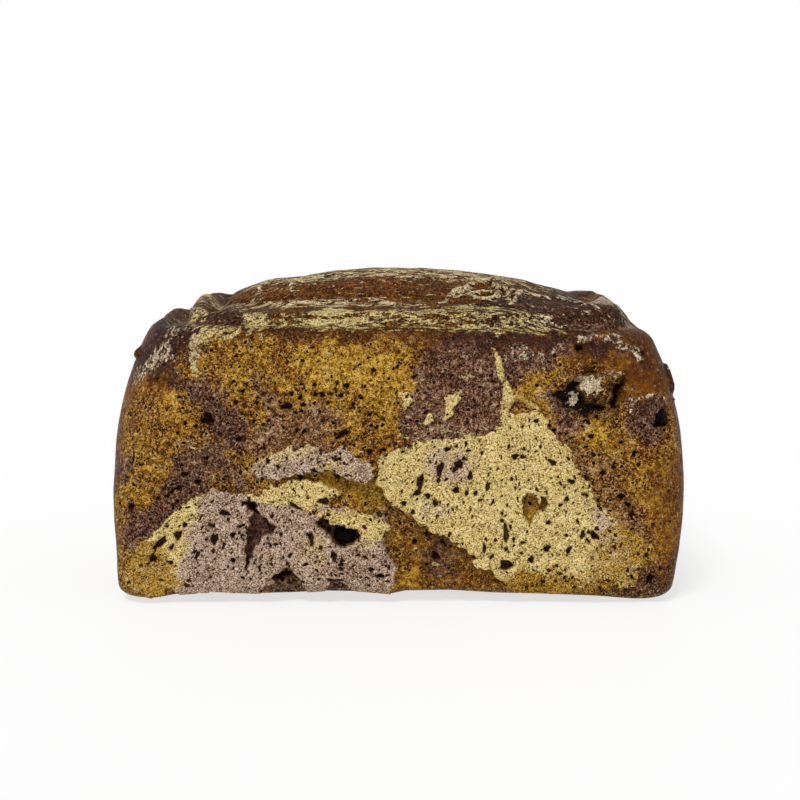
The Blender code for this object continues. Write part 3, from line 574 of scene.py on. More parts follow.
on_top = box[:, 2] > SHOULDER - 0.001
on_base = box[:, 2] < 0.001
on_wall = ~on_top & ~on_base
front = on_wall & (base[:, 1] < 0.0)
back = on_wall & ~front
wall = np.stack((s, wall_z), 1)
torn = ragged(wall)


def outlined(on_front, on_back=()):
    """Distance in mm from the edge of the nearest of some outlines, above 0 inside them."""
    found = np.full(count, -20.0)
    for chosen, outlines in ((front, on_front), (back, on_back)):
        for outline in outlines:
            found[chosen] = np.maximum(found[chosen], inside(torn[chosen], outline))
    return found


def oval(middle_s, middle_z, half_width, half_height):
    """How far each place of the walls is from an oval's middle, 1 on its edge."""
    return np.hypot((s - middle_s) / half_width, (wall_z - middle_z) / half_height)


def swayed(chosen, sway, size, seed, octaves=1):
    """Chosen places in x and y, pushed about that far in mm in bumps of that size."""
    push = [rough(base[chosen], size, seed + axis, octaves) for axis in (0, 1)]
    return base[chosen, :2] + sway * np.stack(push, 1)


skin = outlined(SKINS, BACK_SKINS)
tear = outlined([CENTRE_TEAR], [BACK_TEAR])
gash = outlined(GASHES)
olive_hole = outlined([OLIVE_HOLE])
hollow = outlined(HOLLOWS)
for hole in (gash, olive_hole, hollow):
    skin = np.minimum(skin, -hole)

# How far each place stands out from the plain form, in mm: swells first, then skins, tears and holes
out = 0.55 * rough(base, 34.0, 1, 2) + 0.22 * rough(base, 9.0, 2, 2)
out += on_top * 0.30 * rough(base * (0.35, 1.0, 1.0), 4.0, 3, 2)
out -= TEAR_DEPTH * smooth(-0.6, 2.2, tear) * (1.0 - smooth(-0.15, 0.15, skin))
lifted = smooth(-0.2, 0.25, skin)
out += lifted * (0.75 * SKIN_LIFT + 0.35 * bell(skin, 0.8, 0.9))
left_gash = (s < -36.0) & (wall_z < 31.0)
out -= np.where(left_gash, 0.6, 1.0) * (GASH_DEPTH + SKIN_LIFT) * smooth(-0.3, 0.8, gash)
out -= OLIVE_DEPTH * smooth(-0.2, 0.5, olive_hole)
out -= HOLLOW_DEPTH * smooth(-0.5, 1.5, hollow)

from_crater = oval(*CRATER) + 0.22 * rough(np.stack((s, wall_z, s * 0), 1), 3.0, 7, 2)
crater = front * (1.0 - smooth(0.8, 1.08, from_crater))
lump = front * (1.0 - smooth(0.5, 1.05, oval(*LUMP) + 0.42 * rough(base, 3.2, 8, 2)))
out += -CRATER_DEPTH * crater + LUMP_RISE * lump + 0.6 * lump * rough(base, 1.6, 10, 2)
for nub in NUBS:
    out += on_wall * NUB_RISE * (1.0 - smooth(0.3, 1.1, oval(*nub) + 0.4 * rough(base, 1.8, 9, 2)))
gap, along = near(torn, GROOVE)
groove = front * (1.0 - smooth(0.2, 1.9, gap)) * smooth(1.0, 0.35, along) * smooth(0.0, 0.15, along)
out -= GROOVE_DEPTH * groove

# Bubbles: steep bowls, a little uneven round their rims
pit = np.zeros(count)
for (bs, bz, face), wide, tall, tilt, depth in all_bubbles:
    reach = max(wide, tall)
    close = (front if face < 0 else back) & (np.abs(s - bs) < reach) & (np.abs(wall_z - bz) < reach)
    close = np.flatnonzero(close)
    cosine = math.cos(math.radians(tilt))
    sine = math.sin(math.radians(tilt))
    ds = s[close] - bs
    dz = wall_z[close] - bz
    across = (ds * cosine + dz * sine) / (wide / 2)
    up = (dz * cosine - ds * sine) / (tall / 2)
    turn = np.arctan2(up, across)
    gap = np.hypot(across, up) * (1.0 + 0.14 * np.sin(3.0 * turn + bs) + 0.09 * np.sin(5.0 * turn + bz))
    bowl = 1.0 - smooth(0.55, 1.12, gap)
    pit[close] = np.maximum(pit[close], bowl)
    out[close] -= bowl * depth

# Folds of the dough on top, a small knob, the rises and dips near its ends, and a crease
everywhere = slice(None)
from_folds = swayed(everywhere, 0.9, 4.0, 51, 2)
for route, width, rise in FOLDS:
    gap, along = near(from_folds, route)
    fold = rise * (1.0 - smooth(0.1, 1.0, gap / width))
    out += on_top * fold * smooth(0.0, 0.15, along) * smooth(1.0, 0.85, along)
x, y, z = base.T
knob = bell(x, -67.0, 3.6) * bell(y, -8.0, 10.0)
for crossing_x, width, rise, runs_out, whole in CROSSINGS:
    knob += rise * bell(x, crossing_x, width) * smooth(runs_out, whole, np.abs(y))
gap, _ = near(swayed(everywhere, 1.2, 7.0, 53), CREASE)
out += on_top * (knob - 1.0 + smooth(0.0, 2.4, gap))
out[on_base] = 0.0
out[on_wall] *= smooth(0.0, 3.0, box[on_wall, 2])

places = base + normal * out[:, None]
places[:, 2] = np.maximum(places[:, 2], 0.0)
data.vertices.foreach_set("co", (places * MM).ravel())
data.update()

# What the shader needs to know of each place. Patches lie all over the loaf at random, and those
# drawn for the front wall and the top lie over them there, fading out between two places along s.
FADES, FADED = 108.0, 122.0
bands = rough(base * (1.0, 1.0, 1.6), 30.0, 61, 2) + 0.25 * rough(base, 8.0, 62)
purple = smooth(-0.05, 0.35, bands)
tone = 0.45 * rough(base, 26.0, 63, 2) - 0.8 * smooth(84.0, 90.0, z) * on_wall
glaze = 0.5 * smooth(0.1, 0.6, rough(base, 30.0, 66, 2))
mauve = smooth(-0.5, 0.6, rough(base * (1.0, 1.0, 1.4), 21.0, 64, 3))
worn = 0.55 * smooth(0.0, 0.8, rough(base, 18.0, 65, 2))
part = np.flatnonzero(front & (np.abs(s) < FADED))
seen = smooth(FADED, FADES, np.abs(s[part]))
flowing = ragged(wall[part], 2.6)
for values, table in ((purple, PURPLE), (tone, TONES), (glaze, GLAZES), (worn, WORN)):
    values[part] += seen * (washes(flowing, table) - values[part])
drawn = washes(torn[part], MAUVES) * (1.0 - washes(torn[part], CREAMS))
mauve[part] += seen * (drawn - mauve[part])
above = np.flatnonzero(on_top & (y < 14.0))
drawn = washes(swayed(above, 3.0, 9.0, 57), TOP_PURPLE)
purple[above] += smooth(14.0, -6.0, y[above]) * (drawn - purple[above])
wet = np.clip(smooth(-0.5, 1.5, tear) * (1.0 - lifted) + smooth(0.0, 0.4, olive_hole), 0.0, 1.0)
wet *= 1.0 - 0.85 * smooth(-12.0, -6.0, s) * smooth(40.0, 30.0, wall_z) * front * (olive_hole < -1.0)
# Painted shade: the crater's floor round the lump and the groove beside it are painted near black
hollow_shade = smooth(0.15, 0.6, crater) * (1.0 - smooth(0.08, 0.5, lump)) * smooth(75.0, 71.0, s)
hollow_shade = np.clip(0.97 * hollow_shade + 0.95 * smooth(0.2, 0.8, groove), 0.0, 1.0)

# Pores open along the way each dough was pulled, so the shader gets places stretched that way: the
# wall's places in question, the point in s and z that they fan out from, and the fan's reach in mm
PULLS = ((front & (s > -5.0), (36.0, 97.0), 60.0),
         (front & (s <= -5.0) & (wall_z < 47.0), (-42.0, 58.0), 38.0),
         (back & (s <= 30.0), (-20.0, 90.0), 60.0),
         (back & (s > 30.0), (50.0, -20.0), 60.0))
flow = base.copy()
for chosen, (middle_s, middle_z), reach in PULLS:
    ds = s[chosen] - middle_s
    dz = wall_z[chosen] - middle_z
    flow[chosen] = np.stack((0.55 * np.hypot(ds, dz), reach * np.arctan2(ds, -dz), y[chosen]), 1)

# The top was stretched sideways as it rose, and towards the corners past its middle
brushed = np.stack((0.3 * x, y + 0.7 * np.maximum(np.abs(x) - 36.0, 0.0), z), 1)

# Flour lies on the ledge inside the shoulder, on the dome's crest, on its folds and in streaks on
# the front wall. Towards the ends and along the top's front edge it is less yellow, like ash.
LEDGE = [
    (1.05, 1.2, [(-53, -38), (-46.5, -39.5), (-42.5, -41.5), (-41, -52), (-49, -52)]),
    (1.05, 1.5, [(-29, -38), (-22.5, -33.5), (-14, -39), (-12, -52), (-29, -52)]),
    (0.85, 4, [(-73, -14), (-66, -18), (-60, -12), (-59, -3), (-64, 4), (-71, 3), (-76, -6)]),
    (0.72, 1.8, [(-44, -41), (-30, -40.5), (-12, -38), (1, -38), (18, -34), (35, -33.5), (47, -39),
        (56, -42), (60, -52), (-44, -52)]),
    (0.84, 1, [(-44, -44.5), (12, -44.5), (40, -45), (40, -52), (-44, -52)]),
    (0.74, 2.5, [(-88, -36), (-80, -25), (-72, -28), (-63, -22), (-56, -28), (-58, -37), (-68, -41),
        (-80, -40)]),
    (0.70, 1.8, [(-60, -25), (-40, -25), (-12, -26), (2, -30), (14, -35), (2, -36), (-14, -34), (-40, -34),
        (-54, -34)]),
    (0.55, 3, [(50, -19), (62, -24), (74, -34), (84, -44), (92, -36), (86, -20), (72, -14), (60, -12)]),
    (0.85, 2, [(68, -32), (67, -8), (69, 12), (76, 14), (80, -6), (77, -30)]),
    (0.68, 3, [(-88, -32), (-86, 2), (-79, 8), (-74, -4), (-71, -20), (-76, -32)])]
FLOURED = [
    (1.5, 0.7, [(-68.5, 90.5), (-66.5, 92), (-64.5, 93.5), (-61.2, 92.5), (-61, 89.5), (-63, 88),
        (-66, 87.5), (-68.5, 86)]),
    (0.95, 1, [(-60.5, 92.5), (-59, 94.5), (-56.5, 96), (-51.5, 94.5), (-52, 91), (-54.5, 89.5),
        (-57, 88.5), (-60.5, 88.5)]),
    (0.95, 0.6, [(-68.8, 88), (-65.5, 88), (-65, 85.5), (-65.5, 82), (-64.5, 78), (-66, 76), (-67.2, 78.5),
        (-68.8, 82)]),
    (0.75, 1.2, [(-97, 72), (-93.5, 78.5), (-87, 83), (-80, 87.5), (-76.5, 89), (-77, 84), (-81, 79.5),
        (-86, 75.5), (-91.5, 72)]),
    (0.75, 1, [(-82, 90), (-77, 93.5), (-66, 96), (-66, 93), (-72, 91.5), (-80, 88)]),
    (1, 0.5, [(-84.5, 85), (-81, 83.6), (-77.5, 83.6), (-71.5, 81.9), (-72, 80.9), (-77.5, 81.8),
        (-81, 80.6), (-84, 77.6), (-88.5, 75.6), (-93.5, 73.4), (-93.5, 74.6), (-88.5, 77), (-84, 80)]),
    (2.4, 0.4, [(59.6, 77.6), (61.4, 78.6), (63.2, 77.8), (64.6, 78.8), (66, 77.2), (68.2, 77.8),
        (67, 75.6), (68.4, 73.6), (66.6, 72.6), (66, 70.6), (64.4, 72.2), (62.6, 71.6), (62.4, 73.6),
        (60.6, 74.4), (61.2, 76)]),
    (1.9, 0.4, [(56.6, 73.6), (58.4, 74.2), (58.8, 72.8), (60.2, 72.4), (60, 70), (58.4, 68.6), (57, 70.2),
        (57.6, 71.8)]),
    (0.75, 0.8, [(70, 79), (74, 80.5), (76, 78), (73, 76.5)]),
    (0.8, 0.6, [(76.5, 66), (78, 70.6), (81, 72.2), (85.5, 72.8), (90.5, 71), (94, 66.5), (92.5, 66.5),
        (90, 69.6), (85.5, 71.6), (81, 71), (79, 69.4), (77.6, 66)]),
    (0.8, 0.8, [(-52, 98), (-50, 91.6), (-40, 92.4), (-28, 92), (-20, 91), (-8, 92.4), (14, 92.2),
        (34, 91.8), (46, 92.6), (56, 92.2), (62, 98)]),
    (0.55, 2, [(36, 88), (52, 86.5), (60, 88.5), (52, 84.5), (40, 83), (34, 85)]),
    (0.7, 1.2, [(58, 93.2), (66, 92.4), (76, 89.8), (84, 84.5), (82, 88), (74, 93), (60, 96)]),
    (0.5, 3, [(-71, 56), (-64, 56), (-62, 52), (-70, 52)]),
    (0.35, 3, [(-2, 60), (8, 62), (24, 60), (38, 66), (34, 58), (18, 55), (2, 55)]),
    (1.1, 0.3, [(12, 16), (13.4, 15.4), (14.8, 13.4), (14.2, 12.8), (12.8, 14.6)]),
    (0.95, 0.6, [(11.5, 80.2), (12.8, 81.6), (13.2, 79.4), (12.2, 78.6)]),
    (0.95, 0.5, [(59.5, 89.2), (60.5, 91), (64, 92.2), (68, 91.4), (67.5, 90.4), (64, 91), (61, 89.6)]),
    (0.95, 0.6, [(70.5, 91), (74.5, 93), (72.5, 90.4), (76, 89.6), (79.5, 88), (82.4, 85.6), (80.4, 83.4),
        (78.6, 86.2), (75.5, 88), (71.5, 89)]),
    (1.4, 0.4, [(-54, 95.6), (-51, 95.6), (-48, 94.6), (-45.2, 92.2), (-43.6, 88.6), (-44.4, 88),
        (-46.2, 91), (-48.6, 93.2), (-52, 94.4)]),
    (1, 0.3, [(-48.6, 93.2), (-47.6, 93.4), (-49.6, 89.6), (-51, 88.8)])]
crest = 0.66 * smooth(-17.0, -9.0, y) * smooth(-66.0, -50.0, x) * smooth(72.0, 44.0, x)
crest += 0.12 * smooth(103.0, 109.0, z)
flour = on_top * np.maximum(crest, 0.2)
above = np.flatnonzero(on_top)
flour[above] = np.maximum(flour[above], washes(swayed(above, 0.9, 3.0, 55, 2), LEDGE))
for route, width, _ in FOLDS[:FLOURED_FOLDS]:
    gap, _ = near(from_folds, route)
    flour = np.maximum(flour, on_top * (1.0 - smooth(0.2, 1.1, gap / width)))
ash = on_top * np.maximum(0.5 * smooth(-36.0, -31.0, y), smooth(40.0, 60.0, x))
ash = np.maximum(ash, smooth(56.0, 64.0, np.abs(s)) * on_wall)
ash = np.maximum(ash, smooth(30.0, 38.0, s) * smooth(92.0, 90.0, wall_z) * front)
ash *= 1.0 - bell(s, -62.0, 7.0) * front
flour[part] = np.maximum(flour[part], washes(torn[part], FLOURED))
rim = on_wall & (~front | (np.abs(s) > 92.0))
flour = np.maximum(flour, rim * 0.55 * bell(z, 93.0, 3.0))

fields = {"skin": skin, "worn": worn, "mauve": mauve, "purple": purple, "tone": tone, "wet": wet,
          "glaze": glaze, "gash": gash, "pit": pit, "flour": flour, "ash": ash, "hollow_shade": hollow_shade,
          "topside": smooth(91.0, 95.0, z)}
for name, values in fields.items():
    attribute = data.attributes.new(name, 'FLOAT', 'POINT')
    attribute.data.foreach_set("value", np.asarray(values, np.float32))
for name, vectors in (("flow", flow), ("brushed", brushed)):
    attribute = data.attributes.new(name, 'FLOAT_VECTOR', 'POINT')
    attribute.data.foreach_set("vector", vectors.astype(np.float32).ravel())
data.shade_smooth()


def place_object(name, content):
    """Put a mesh, a lamp or a camera in the scene."""
    made = bpy.data.objects.new(name, content)
    bpy.context.scene.collection.objects.link(made)
    return made


crust = place_object("loaf_crust", data)
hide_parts("loaf")
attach(crust, "root")


def colour(code):
    """Linear colour of an sRGB hex value."""
    values = [int(code[i:i + 2], 16) / 255.0 for i in (1, 3, 5)]
    return (*[v / 12.92 if v <= 0.04045 else ((v + 0.055) / 1.055) ** 2.4 for v in values], 1.0)


def new_material(name):
    """A material with an empty node tree."""
    material = bpy.data.materials.new(name)
    material.use_nodes = True
    material.node_tree.nodes.clear()
    return material


def node(kind, *inputs, give=0, stops=(), **settings):
    """Add a node with its inputs, in order or by name, a ramp's stops and settings; give an output."""
    made = tree.nodes.new("ShaderNode" + kind)
    for name, value in settings.items():
        setattr(made, name, value)
    named = inputs[0] if inputs and isinstance(inputs[0], dict) else dict(enumerate(inputs))
    for name, value in named.items():
        if isinstance(value, bpy.types.NodeSocket):
            tree.links.new(value, made.inputs[name])
        else:
            made.inputs[name].default_value = value
    for _ in stops[2:]:
        made.color_ramp.elements.new(0.5)
    for index, (place, code) in enumerate(stops):
        made.color_ramp.elements[index].position = place
        made.color_ramp.elements[index].color = colour(code)
    return made.outputs[give] if made.outputs else None


# Baked crust of two doughs. To the eye it is a rough, half glazed gold and purple brown, grainy at
# half a millimetre and pricked with pinholes, with dry chalky cream and mauve skin over part of it.
baked = new_material("baked crust")
tree = baked.node_tree
# Settings that many of its nodes share
EASED = {"interpolation_type": 'SMOOTHSTEP'}
TIMES = {"operation": 'MULTIPLY'}
LESS = {"operation": 'SUBTRACT'}
MOST = {"operation": 'MAXIMUM'}
place = node("VectorMath", {0: node("TexCoord", give="Object"), "Scale": 1.0 / MM}, operation='SCALE')
field = {name: node("Attribute", give="Fac", attribute_name=name) for name in fields}
flow_place = node("Attribute", give="Vector", attribute_name="flow")
brushed_place = node("Attribute", give="Vector", attribute_name="brushed")


def summed(start, *parts):
    """A start with values added to it, each in its amount."""
    for value, amount in parts:
        start = node("Math", value, amount, start, operation='MULTIPLY_ADD')
    return start


def speckled(start, *noises):
    """A value made uneven by noises about their middle, each in its amount."""
    for noise, amount in noises:
        start = summed(start, (node("Math", noise, 0.5, **LESS), amount))
    return start


def layered(under, *layers):
    """Colours laid over one another, each where its amount says."""
    for amount, tint in layers:
        under = node("Mix", {0: amount, 6: under, 7: tint}, give=2, data_type='RGBA')
    return under


def pores(where, spacing, share, largest, rim=0.16):
    """Pores of that spacing in mm in that share of the cells, up to a radius in cells, and their rims."""
    distance = node("TexVoronoi", {"Vector": where, "Scale": 1.0 / spacing})
    pick = node("SeparateColor", distance.node.outputs["Color"])
    size = node("MapRange", pick, 1.0 - share, 1.0, -0.25, largest)
    depth = node("Math", size, distance, **LESS)
    hole, with_rim = [node("MapRange", depth, -0.05 - more, 0.05 - more, **EASED) for more in (0.0, rim)]
    return hole, node("Math", with_rim, hole, **LESS)


patchy = node("TexNoise", {"Vector": place, "Scale": 1 / 7.0, "Detail": 4.0, "Roughness": 0.6})
mottle = node("TexNoise", {"Vector": place, "Scale": 1 / 2.4, "Detail": 5.0, "Roughness": 0.65})
grain = node("TexNoise", {"Vector": place, "Scale": 1 / 0.9, "Detail": 3.0, "Roughness": 0.7,
                          "Distortion": 0.4})
grit = node("TexNoise", {"Vector": place, "Scale": 1 / 0.46, "Detail": 1.0, "Roughness": 0.6})
swirl = node("TexNoise", {"Vector": place, "Scale": 1 / 1.1, "Detail": 2.0}, give="Color")
bent = node("VectorMath", swirl, (1.3, 1.3, 1.3), place, operation='MULTIPLY_ADD')
pulled = node("VectorMath", swirl, (1.1, 1.1, 1.1), flow_place, operation='MULTIPLY_ADD')
streaks = node("TexNoise", {"Vector": pulled, "Scale": 1 / 1.8, "Detail": 3.0, "Roughness": 0.6})
pinhole, pinhole_rim = pores(bent, 1.9, 0.5, 0.40)
prick, prick_rim = pores(bent, 1.0, 0.5, 0.40)
slit, _ = pores(pulled, 1.3, 0.6, 0.42)
speck, _ = pores(pulled, 0.56, 0.7, 0.43)

# Each dough's colour slides along a ramp with the grain, less so where it set glassy
calm = node("Math", 1.0, node("Math", field["glaze"], 0.9, **TIMES), **LESS)
small_foam, large_foam = [node("TexVoronoi", {"Vector": bent, "Scale": 1 / width}) for width in (0.8, 1.6)]
crumb = summed(node("Math", small_foam, 0.3, **TIMES), (large_foam, 0.7))
crumb = node("Math", node("Math", crumb, 0.52, **LESS), calm, **TIMES)
shade = summed(speckled(0.455, (grain, node("Math", calm, 0.6, **TIMES))), (crumb, 0.7))
shade = speckled(shade, (grit, summed(0.15, (calm, 1.05))), (mottle, 0.78), (patchy, 0.6))
shade = summed(shade, (field["tone"], 0.17))
hue = summed(speckled(patchy, (mottle, 0.6)), (field["tone"], 0.16))
marble = speckled(field["purple"], (patchy, 1.0), (mottle, 0.55))
amber_gold = node("ValToRGB", shade, stops=[(0.15, "#260B01"), (0.35, "#512503"), (0.5, "#733D05"),
                                            (0.65, "#965D10"), (0.85, "#CC9643")])
yellow_gold = node("ValToRGB", shade, stops=[(0.15, "#321A02"), (0.35, "#613D03"), (0.5, "#845905"),
                                             (0.65, "#A77912"), (0.85, "#D8AF4C")])
violet = node("ValToRGB", shade, stops=[(0.15, "#200A04"), (0.35, "#3E1D0D"), (0.5, "#5B341D"),
                                        (0.65, "#7E573B"), (0.85, "#B8997E")])
glassy = node("ValToRGB", shade, stops=[(0.12, "#2E1101"), (0.35, "#552802"), (0.55, "#744204"),
                                        (0.8, "#A26C16")])
olive = node("ValToRGB", shade, stops=[(0.2, "#5A3A03"), (0.42, "#8C620C"), (0.6, "#A6781A"),
                                       (0.85, "#C89A3C")])
top_gold = node("ValToRGB", shade, stops=[(0.15, "#200B01"), (0.4, "#421C02"), (0.6, "#5E2D04"),
                                          (0.85, "#8C5416")])
top_violet = node("ValToRGB", shade, stops=[(0.15, "#1C0A04"), (0.4, "#31160A"), (0.6, "#492713"),
                                            (0.85, "#7C583E")])
topping = layered(top_gold, (node("MapRange", marble, 0.2, 0.8, **EASED), top_violet))
amber = node("Math", 1.0, node("MapRange", marble, 0.18, 0.72, **EASED), use_clamp=True, **LESS)
amber = node("Math", field["glaze"], amber, **TIMES)
doughs = layered(amber_gold, (node("MapRange", hue, 0.38, 0.68, **EASED), yellow_gold))
doughs = layered(doughs, (node("MapRange", marble, -0.02, 0.92, **EASED), violet),
                 (node("Math", amber, 0.8, **TIMES), glassy), (field["wet"], olive),
                 (field["topside"], topping))

# Dry skin: cream and mauve, baked on to gold where it thins out
chalk = speckled(0.5, (grain, 0.85), (mottle, 0.65), (grit, 1.9), (patchy, 0.4))
chalk = summed(chalk, (field["tone"], 0.12))
cream = node("ValToRGB", chalk, stops=[(0.1, "#5C3E14"), (0.32, "#AE9250"), (0.5, "#D6BC76"),
                                       (0.68, "#E8CF8E"), (0.85, "#F4E0A4")])
mauve_skin = node("ValToRGB", chalk, stops=[(0.1, "#442A1E"), (0.32, "#82654F"), (0.5, "#A98D76"),
                                            (0.68, "#C8AE98"), (0.85, "#DEC9B6")])
gilt = node("ValToRGB", chalk, stops=[(0.2, "#523202"), (0.4, "#80570E"), (0.55, "#A0741C"),
                                      (0.8, "#CBA244")])
tint = speckled(field["mauve"], (patchy, 1.3), (streaks, 0.7))
thin = speckled(field["worn"], (mottle, 1.6))
dry = layered(cream, (node("MapRange", tint, 0.05, 0.95, **EASED), mauve_skin),
              (node("MapRange", thin, 0.15, 0.75, 0.0, 0.95, **EASED), gilt))
has_skin = node("MapRange", speckled(field["skin"], (grain, 1.2)), -0.12, 0.16, **EASED)
lost = node("MapRange", speckled(thin, (streaks, 2.0)), 0.95, 1.2, **EASED)
has_skin = node("Math", has_skin, node("Math", 1.0, lost, **LESS), **TIMES)

# Flour, brushed off the high grains and cracked across the dome
cracks = node("TexNoise", {"Vector": brushed_place, "Scale": 1 / 1.5, "Detail": 5.0, "Roughness": 0.75})
dust = speckled(node("Math", field["flour"], 0.82, **TIMES), (cracks, 4.4), (grain, 1.0))
dust = node("MapRange", dust, 0.46, 0.76, **EASED)
floury = node("ValToRGB", chalk, stops=[(0.2, "#80693A"), (0.4, "#AC955C"), (0.55, "#CAB77A"),
                                        (0.8, "#E2D39E")])
ashen = node("ValToRGB", chalk, stops=[(0.2, "#7E6A54"), (0.45, "#BAA68E"), (0.7, "#E8DAC4")])
floury = layered(floury, (node("Math", field["ash"], 0.8, **TIMES), ashen))

# Rims of burst bubbles catch flour and show as short bright threads; their lightness is partly that flour
# and partly painted glints
strand = node("TexNoise", {"Vector": bent, "Scale": 1 / 1.0, "Detail": 2.0})
thread = node("Math", node("Math", strand, 0.5, **LESS), operation='ABSOLUTE')
thread = node("MapRange", thread, 0.015, 0.045, 1.0, 0.0, **EASED)
thread = node("Math", thread, node("MapRange", grain, 0.42, 0.58, **EASED), **TIMES)
rims = node("Math", pinhole_rim, prick_rim, **MOST)
rims = node("Math", rims, node("MapRange", grain, 0.36, 0.54, **EASED), **TIMES)
bare = node("Math", calm, has_skin, use_clamp=True, **LESS)
flour_and_glint = node("Math", node("Math", thread, rims, **MOST), bare, **TIMES)
hidden = node("Math", field["hollow_shade"], node("Math", field["topside"], 0.75, **TIMES), **MOST)
flour_and_glint = node("Math", flour_and_glint, summed(0.72, (hidden, -0.72)), **TIMES)
on_purple = node("MapRange", marble, 0.1, 0.9, **EASED)
flour_and_glint = node("Math", flour_and_glint, summed(1.0, (on_purple, -0.45)), **TIMES)
flour_and_glint_tint = layered(colour("#DDB866"), (node("MapRange", marble, 0.0, 0.9, **EASED), colour("#CFB096")))

# Pores and bubbles darken inwards, as painted shade in these holes, and gashes show a dark purple brown
# inside
in_crust = node("Math", pinhole, node("Math", prick, 0.8, **TIMES), **MOST)
in_crust = node("Math", in_crust, calm, **TIMES)
in_skin = node("Math", slit, node("Math", speck, 0.8, **TIMES), **MOST)
pore = node("Mix", {0: has_skin, 2: in_crust, 3: in_skin})
not_topside = node("Math", 1.0, node("Math", field["topside"], 0.7, **TIMES), **LESS)
pore = node("Math", pore, not_topside, **TIMES)
pore_shade_tint = layered(colour("#240C02"), (has_skin, colour("#3A1E08")))
bubble_shade = node("Math", node("MapRange", field["pit"], 0.25, 0.7, **EASED), 0.93, **TIMES)
gash_tint = node("ValToRGB", shade, stops=[(0.2, "#33160F"), (0.5, "#5E3C33"), (0.8, "#8A685C")])
# The crater and the groove take their painted shade here, near black
surface = layered(doughs, (has_skin, dry), (field["hollow_shade"], colour("#140B07")), (dust, floury),
                  (flour_and_glint, flour_and_glint_tint), (pore, pore_shade_tint), (bubble_shade, colour("#2A1104")),
                  (node("MapRange", field["gash"], -0.2, 0.5, **EASED), gash_tint))

# The glaze on the torn crust shines, the dry skin and flour don't
matt = node("Math", has_skin, dust, **MOST)
gloss = node("MapRange", mottle, 0.35, 0.65, 0.40, 0.56, **EASED)
gloss = summed(gloss, (node("Math", field["glaze"], field["wet"], **MOST), -0.16))
roughness = node("Mix", {0: matt, 2: gloss, 3: 0.88})
height = node("Math", grain, node("Math", calm, 0.45, **TIMES), **TIMES)
crumb_height = node("Math", 0.9, node("Math", matt, 0.6, **TIMES), **LESS)
height = summed(height, (mottle, 0.6), (crumb, crumb_height), (pore, -0.5), (dust, 0.15), (grit, 0.25))
bump = node("Bump", {"Height": height, "Strength": 1.0, "Distance": 1.4 * MM})
node("OutputMaterial", node("BsdfPrincipled", {"Base Color": surface, "Roughness": roughness,
                                               "Normal": bump, "Specular IOR Level": 0.06}))
data.materials.append(baked)


# Raisins. Two dried grapes baked into the crust, half sunk in their pockets. As they dried, their
# skin shrank into wrinkles over the soft flesh.

# Dried grape skin. It gives the eye an almost black brown with small soft glints on its folds.
grape = new_material("dried grape skin")
tree = grape.node_tree
place = node("VectorMath", {0: node("TexCoord", give="Object"), "Scale": 1.0 / MM}, operation='SCALE')
creases = node("TexNoise", {"Vector": place, "Scale": 1 / 0.8, "Detail": 4.0, "Roughness": 0.6})
node("OutputMaterial", node("BsdfPrincipled", {
    "Base Color": node("ValToRGB", creases, stops=[(0.3, "#020101"), (0.6, "#070404"), (0.8, "#140C08")]),
    "Specular IOR Level": 0.1,
    "Roughness": node("MapRange", creases, 0.3, 0.7, 0.08, 0.22),
    "Normal": node("Bump", {"Height": creases, "Strength": 1.0, "Distance": 0.9 * MM})}))

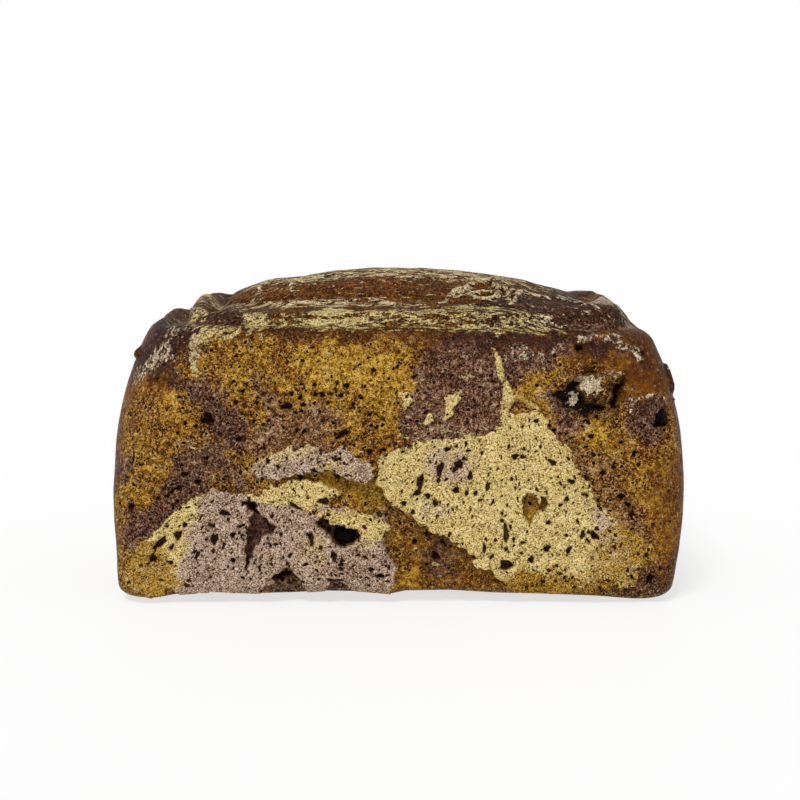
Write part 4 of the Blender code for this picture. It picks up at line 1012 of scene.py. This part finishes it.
WRINKLE_DEPTH = 0.2
for name in ("raisin_left", "raisin_right"):
    low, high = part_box(name)
    middle = (low + high) / 2
    radii = (high - low) / 2
    mesh = bmesh.new()
    bmesh.ops.create_icosphere(mesh, subdivisions=6, radius=1.0)
    round_places = np.array([vertex.co[:] for vertex in mesh.verts])
    wrinkle = 1.0 - np.minimum(np.abs(rough(round_places * 3.6, 1.0, 71, 2)) * 3.0, 1.0)
    scale = np.minimum(0.985 - WRINKLE_DEPTH * wrinkle + 0.04 * rough(round_places, 0.8, 72), 1.0)
    for vertex, factor in zip(mesh.verts, scale):
        vertex.co = [middle[axis] + vertex.co[axis] * radii[axis] * factor for axis in range(3)]
    raisin_data = bpy.data.meshes.new(name + "_skin")
    mesh.to_mesh(raisin_data)
    mesh.free()
    raisin_data.shade_smooth()
    raisin_data.materials.append(grape)
    raisin = place_object(name + "_skin", raisin_data)
    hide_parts(name)
    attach(raisin, "root")


# Floor, light and camera. The loaf stands on a plain white table in a white room, under one large
# soft light, and is seen from the front.
FLOOR_HALF = 20.0
floor_mesh = bmesh.new()
bmesh.ops.create_grid(floor_mesh, x_segments=1, y_segments=1, size=FLOOR_HALF)
floor_data = bpy.data.meshes.new("floor")
floor_mesh.to_mesh(floor_data)
floor_mesh.free()
floor = place_object("floor", floor_data)

# White laminate, which gives the eye a flat white with only soft grey shadows
white = new_material("white laminate")
tree = white.node_tree
FULL_WHITE = (1.0, 1.0, 1.0, 1.0)
node("OutputMaterial", node("BsdfPrincipled", {
    "Base Color": (0.27, 0.27, 0.27, 1.0), "Roughness": 0.6, "Specular IOR Level": 0.1,
    "Emission Color": FULL_WHITE, "Emission Strength": 0.69}))
floor_data.materials.append(white)

# The room's white walls are seen at full strength and light the loaf at just over half of it
world = bpy.data.worlds.new("studio")
bpy.context.scene.world = world
world.use_nodes = True
tree = world.node_tree
tree.nodes.clear()
strength = node("MapRange", node("LightPath", give="Is Camera Ray"), 0.0, 1.0, 0.52, 1.0)
node("OutputWorld", node("Background", {"Color": FULL_WHITE, "Strength": strength}))

lamp_data = bpy.data.lights.new("overhead light", 'SUN')
lamp_data.energy = 2.15
lamp_data.angle = math.radians(20.0)
lamp = place_object("overhead light", lamp_data)
lamp.rotation_euler = (math.radians(32.0), math.radians(-14.0), 0.0)

PICTURE_WIDTH = 800
FOCAL_LENGTH = 1675
SENSOR_WIDTH = 36.0
TILT_DOWN = 7.85
camera_data = bpy.data.cameras.new("camera")
camera_data.sensor_width = SENSOR_WIDTH
camera_data.lens = SENSOR_WIDTH * FOCAL_LENGTH / PICTURE_WIDTH
camera = place_object("camera", camera_data)
camera.location = (0.0012, -0.603, 0.146)
camera.rotation_euler = (math.radians(90.0 - TILT_DOWN), 0.0, 0.0)
bpy.context.scene.camera = camera
bpy.context.scene.view_settings.view_transform = 'Standard'
